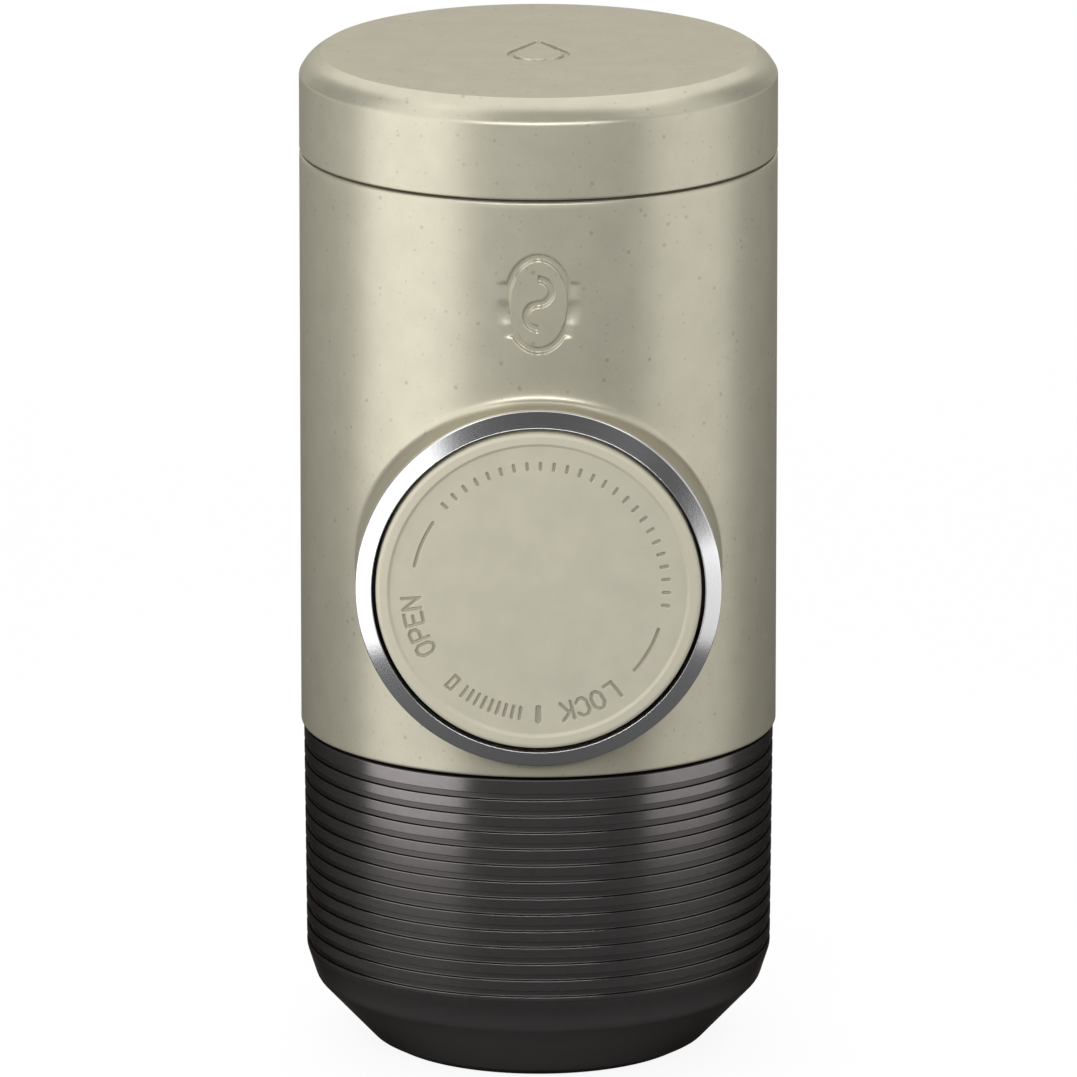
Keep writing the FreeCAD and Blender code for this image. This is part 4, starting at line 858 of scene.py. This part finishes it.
class ESPRESSO_OT_cup(bpy.types.Operator):
    """Makes the ribbed cup, with its round shoulder and sloping flank"""

    bl_idname = "espresso.cup"
    bl_label = "Cup"

    def execute(self, context):
        shape = context.scene.espresso_shape
        columns = 256
        path = self.section(shape)
        quads = grid_faces(len(path), columns, True)
        piece = mesh_piece("cup_skin", about_z(path, columns), quads, 30.0)
        dress(piece, "cup_gloss", "cup", "cup")
        return {"FINISHED"}

    def wall(self, z):
        """The wall's radius, which tapers evenly from the rim to the shoulder."""
        return CUP_RIM_RADIUS - CUP_TAPER * (CUP_HIGH - z) / (CUP_HIGH - CUP_SHOULDER)

    def section(self, shape):
        """The cup's section from the middle of its base, up outside, over the rim and down inside."""
        groove = shape.rib_groove / MM
        edge = shape.edge_round / MM
        shoulder = self.wall(CUP_SHOULDER)
        corners = [
            (0, CUP_LOW, 0),
            (CUP_BASE_FLAT, CUP_LOW, 0.6),
            *CUP_FLANK,
            (shoulder, CUP_SHOULDER, 3.0),
        ]
        pitch = (CUP_HIGH - CUP_RIM_BAND - CUP_SHOULDER) / RIB_COUNT
        for k in range(RIB_COUNT):
            middle = CUP_SHOULDER + pitch * (k + 0.5)
            low, high = middle - GROOVE_HALF_WIDTH, middle + GROOVE_HALF_WIDTH
            floor = self.wall(middle) - groove
            corners += [
                (self.wall(low), low, GROOVE_LIP),
                (floor, low + 0.05, 0.08),
                (floor, high - 0.05, 0.08),
                (self.wall(high), high, GROOVE_LIP),
            ]
        corners += [
            (CUP_RIM_RADIUS, CUP_HIGH, edge),
            (CUP_BORE, CUP_HIGH, edge),
            (CUP_BORE, CUP_SEAL_HIGH, 0.1),
            (CUP_SEAL_FLOOR, CUP_SEAL_HIGH, 0.1),
            (CUP_SEAL_FLOOR, CUP_SEAL_LOW, 0.1),
            (CUP_BORE, CUP_SEAL_LOW, 0.1),
            (CUP_BORE, CUP_STEP, 0.1),
            (shoulder - CUP_WALL, CUP_STEP - 0.25, 0.1),
            (shoulder - CUP_WALL, 11.6, 2.0),
            (20.4, CUP_FLOOR, 1.5),
            (0, CUP_FLOOR, 0),
        ]
        return rounded_path(corners, 3)


class ESPRESSO_OT_inner_finishes(bpy.types.Operator):
    """Gives every solid that stays in view its finish"""

    bl_idname = "espresso.inner_finishes"
    bl_label = "Inner Finishes"

    def execute(self, context):
        made = finish_materials()
        slots = {s["node"]: s["material_slot"] for s in frame["record"]["subparts"]}
        for node, solid in NODES.items():
            for place in solid.material_slots:
                place.material = made[slots[node]]
        return {"FINISHED"}


class ESPRESSO_OT_stage(bpy.types.Operator):
    """Lays the floor and sets the lights and the camera"""

    bl_idname = "espresso.stage"
    bl_label = "Stage"

    def execute(self, context):
        scene = context.scene
        scene.view_settings.view_transform = "Standard"
        self.floor(scene)
        self.world(scene)
        for lamp in LAMPS:
            self.softbox(*lamp)
        self.camera(scene)
        return {"FINISHED"}

    def floor(self, scene):
        """A wide flat square of a dark colour, which glows white to the camera and keeps the
        object's shadow. Mirrored rays find no glow near the object, and all of it far away."""
        corners = np.array([(-1, -1), (1, -1), (1, 1), (-1, 1)]) * FLOOR_HALF
        mesh = bpy.data.meshes.new("studio floor")
        mesh.from_pydata([(x, y, 0.0) for x, y in corners], [], [(0, 1, 2, 3)])
        floor = bpy.data.objects.new("studio floor", mesh)
        scene.collection.objects.link(floor)
        material, shader = new_material("studio floor")
        tree = material.node_tree
        set_inputs(shader, Base_Color=(*scene.espresso_finish.floor, 1), Roughness=0.9)
        set_inputs(shader, Specular_IOR_Level=0.0, Emission_Color=(1, 1, 1, 1))
        rays = tree.nodes.new("ShaderNodeLightPath").outputs
        mirrored = computed(tree, "MAXIMUM", rays["Is Glossy Ray"], rays["Is Transmission Ray"])
        distance = from_line(tree, (0, 0, 0), (1, 1, 0))
        away = stepped(tree, distance, MIRRORED_FROM, MIRRORED_FULLY)
        mirrored = computed(tree, "MULTIPLY", mirrored, away)
        seen = computed(tree, "MAXIMUM", rays["Is Camera Ray"], mirrored)
        lift = stepped(tree, seen, 0.0, 1.0, 0.0, FLOOR_GLOW)
        tree.links.new(lift, shader.inputs["Emission Strength"])
        mesh.materials.append(material)

    def world(self, scene):
        """An even grey all round."""
        world = bpy.data.worlds.new("studio")
        world.use_nodes = True
        background = world.node_tree.nodes["Background"]
        set_inputs(background, Color=(1, 1, 1, 1), Strength=WORLD_LIGHT)
        scene.world = world

    def softbox(self, name, bearing, distance, size, height, power):
        """A soft lamp that faces the object, and that the camera doesn't see. Its bearing is from
        the front, to the right."""
        lamp = bpy.data.lights.new(name, "AREA")
        lamp.shape = "RECTANGLE"
        lamp.size, lamp.size_y = size
        lamp.energy = power
        holder = bpy.data.objects.new(name, lamp)
        angle = math.radians(bearing)
        holder.location = (distance * math.sin(angle), -distance * math.cos(angle), height)
        aim = Vector((0, 0, LAMP_AIM if height > 1 else height))
        holder.rotation_euler = (aim - holder.location).to_track_quat("-Z", "Y").to_euler()
        holder.visible_camera = False
        bpy.context.scene.collection.objects.link(holder)

    def camera(self, scene):
        """The photograph's view: 14.3 degrees above the front, 2 m away."""
        away, rise = CAMERA_AWAY, CAMERA_RISE
        lens = bpy.data.cameras.new("photograph view")
        lens.sensor_width = SENSOR_WIDTH
        lens.lens = SENSOR_WIDTH * away / VIEW_WIDTH
        lens.clip_end = 100.0
        camera = bpy.data.objects.new("photograph view", lens)
        camera.location = (0, -away * math.cos(rise), CAMERA_AIM + away * math.sin(rise))
        toward = Vector((0, 0, CAMERA_AIM)) - camera.location
        camera.rotation_euler = toward.to_track_quat("-Z", "Y").to_euler()
        scene.collection.objects.link(camera)
        scene.camera = camera


OPERATORS = (
    ESPRESSO_OT_tank_cover,
    ESPRESSO_OT_body_shell,
    ESPRESSO_OT_bezel,
    ESPRESSO_OT_dial,
    ESPRESSO_OT_cup,
    ESPRESSO_OT_inner_finishes,
    ESPRESSO_OT_stage,
)


class ESPRESSO_PT_panel(bpy.types.Panel):
    """Lists the pieces and their settings"""

    bl_idname = "ESPRESSO_PT_panel"
    bl_label = "Espresso Maker"
    bl_space_type = "VIEW_3D"
    bl_region_type = "UI"
    bl_category = "Espresso"

    def draw(self, context):
        for settings in (context.scene.espresso_shape, context.scene.espresso_finish):
            for name in settings.__annotations__:
                self.layout.prop(settings, name)
        for operator in OPERATORS:
            self.layout.operator(operator.bl_idname)


CLASSES = (ShapeSettings, FinishSettings, *OPERATORS, ESPRESSO_PT_panel)


def register():
    for cls in CLASSES:
        bpy.utils.register_class(cls)
    bpy.types.Scene.espresso_shape = PointerProperty(type=ShapeSettings)
    bpy.types.Scene.espresso_finish = PointerProperty(type=FinishSettings)


def unregister():
    del bpy.types.Scene.espresso_finish
    del bpy.types.Scene.espresso_shape
    for cls in reversed(CLASSES):
        bpy.utils.unregister_class(cls)


def main():
    register()
    for operator in OPERATORS:
        group, name = operator.bl_idname.split(".")
        getattr(getattr(bpy.ops, group), name)()


if __name__ == "__main__":
    main()
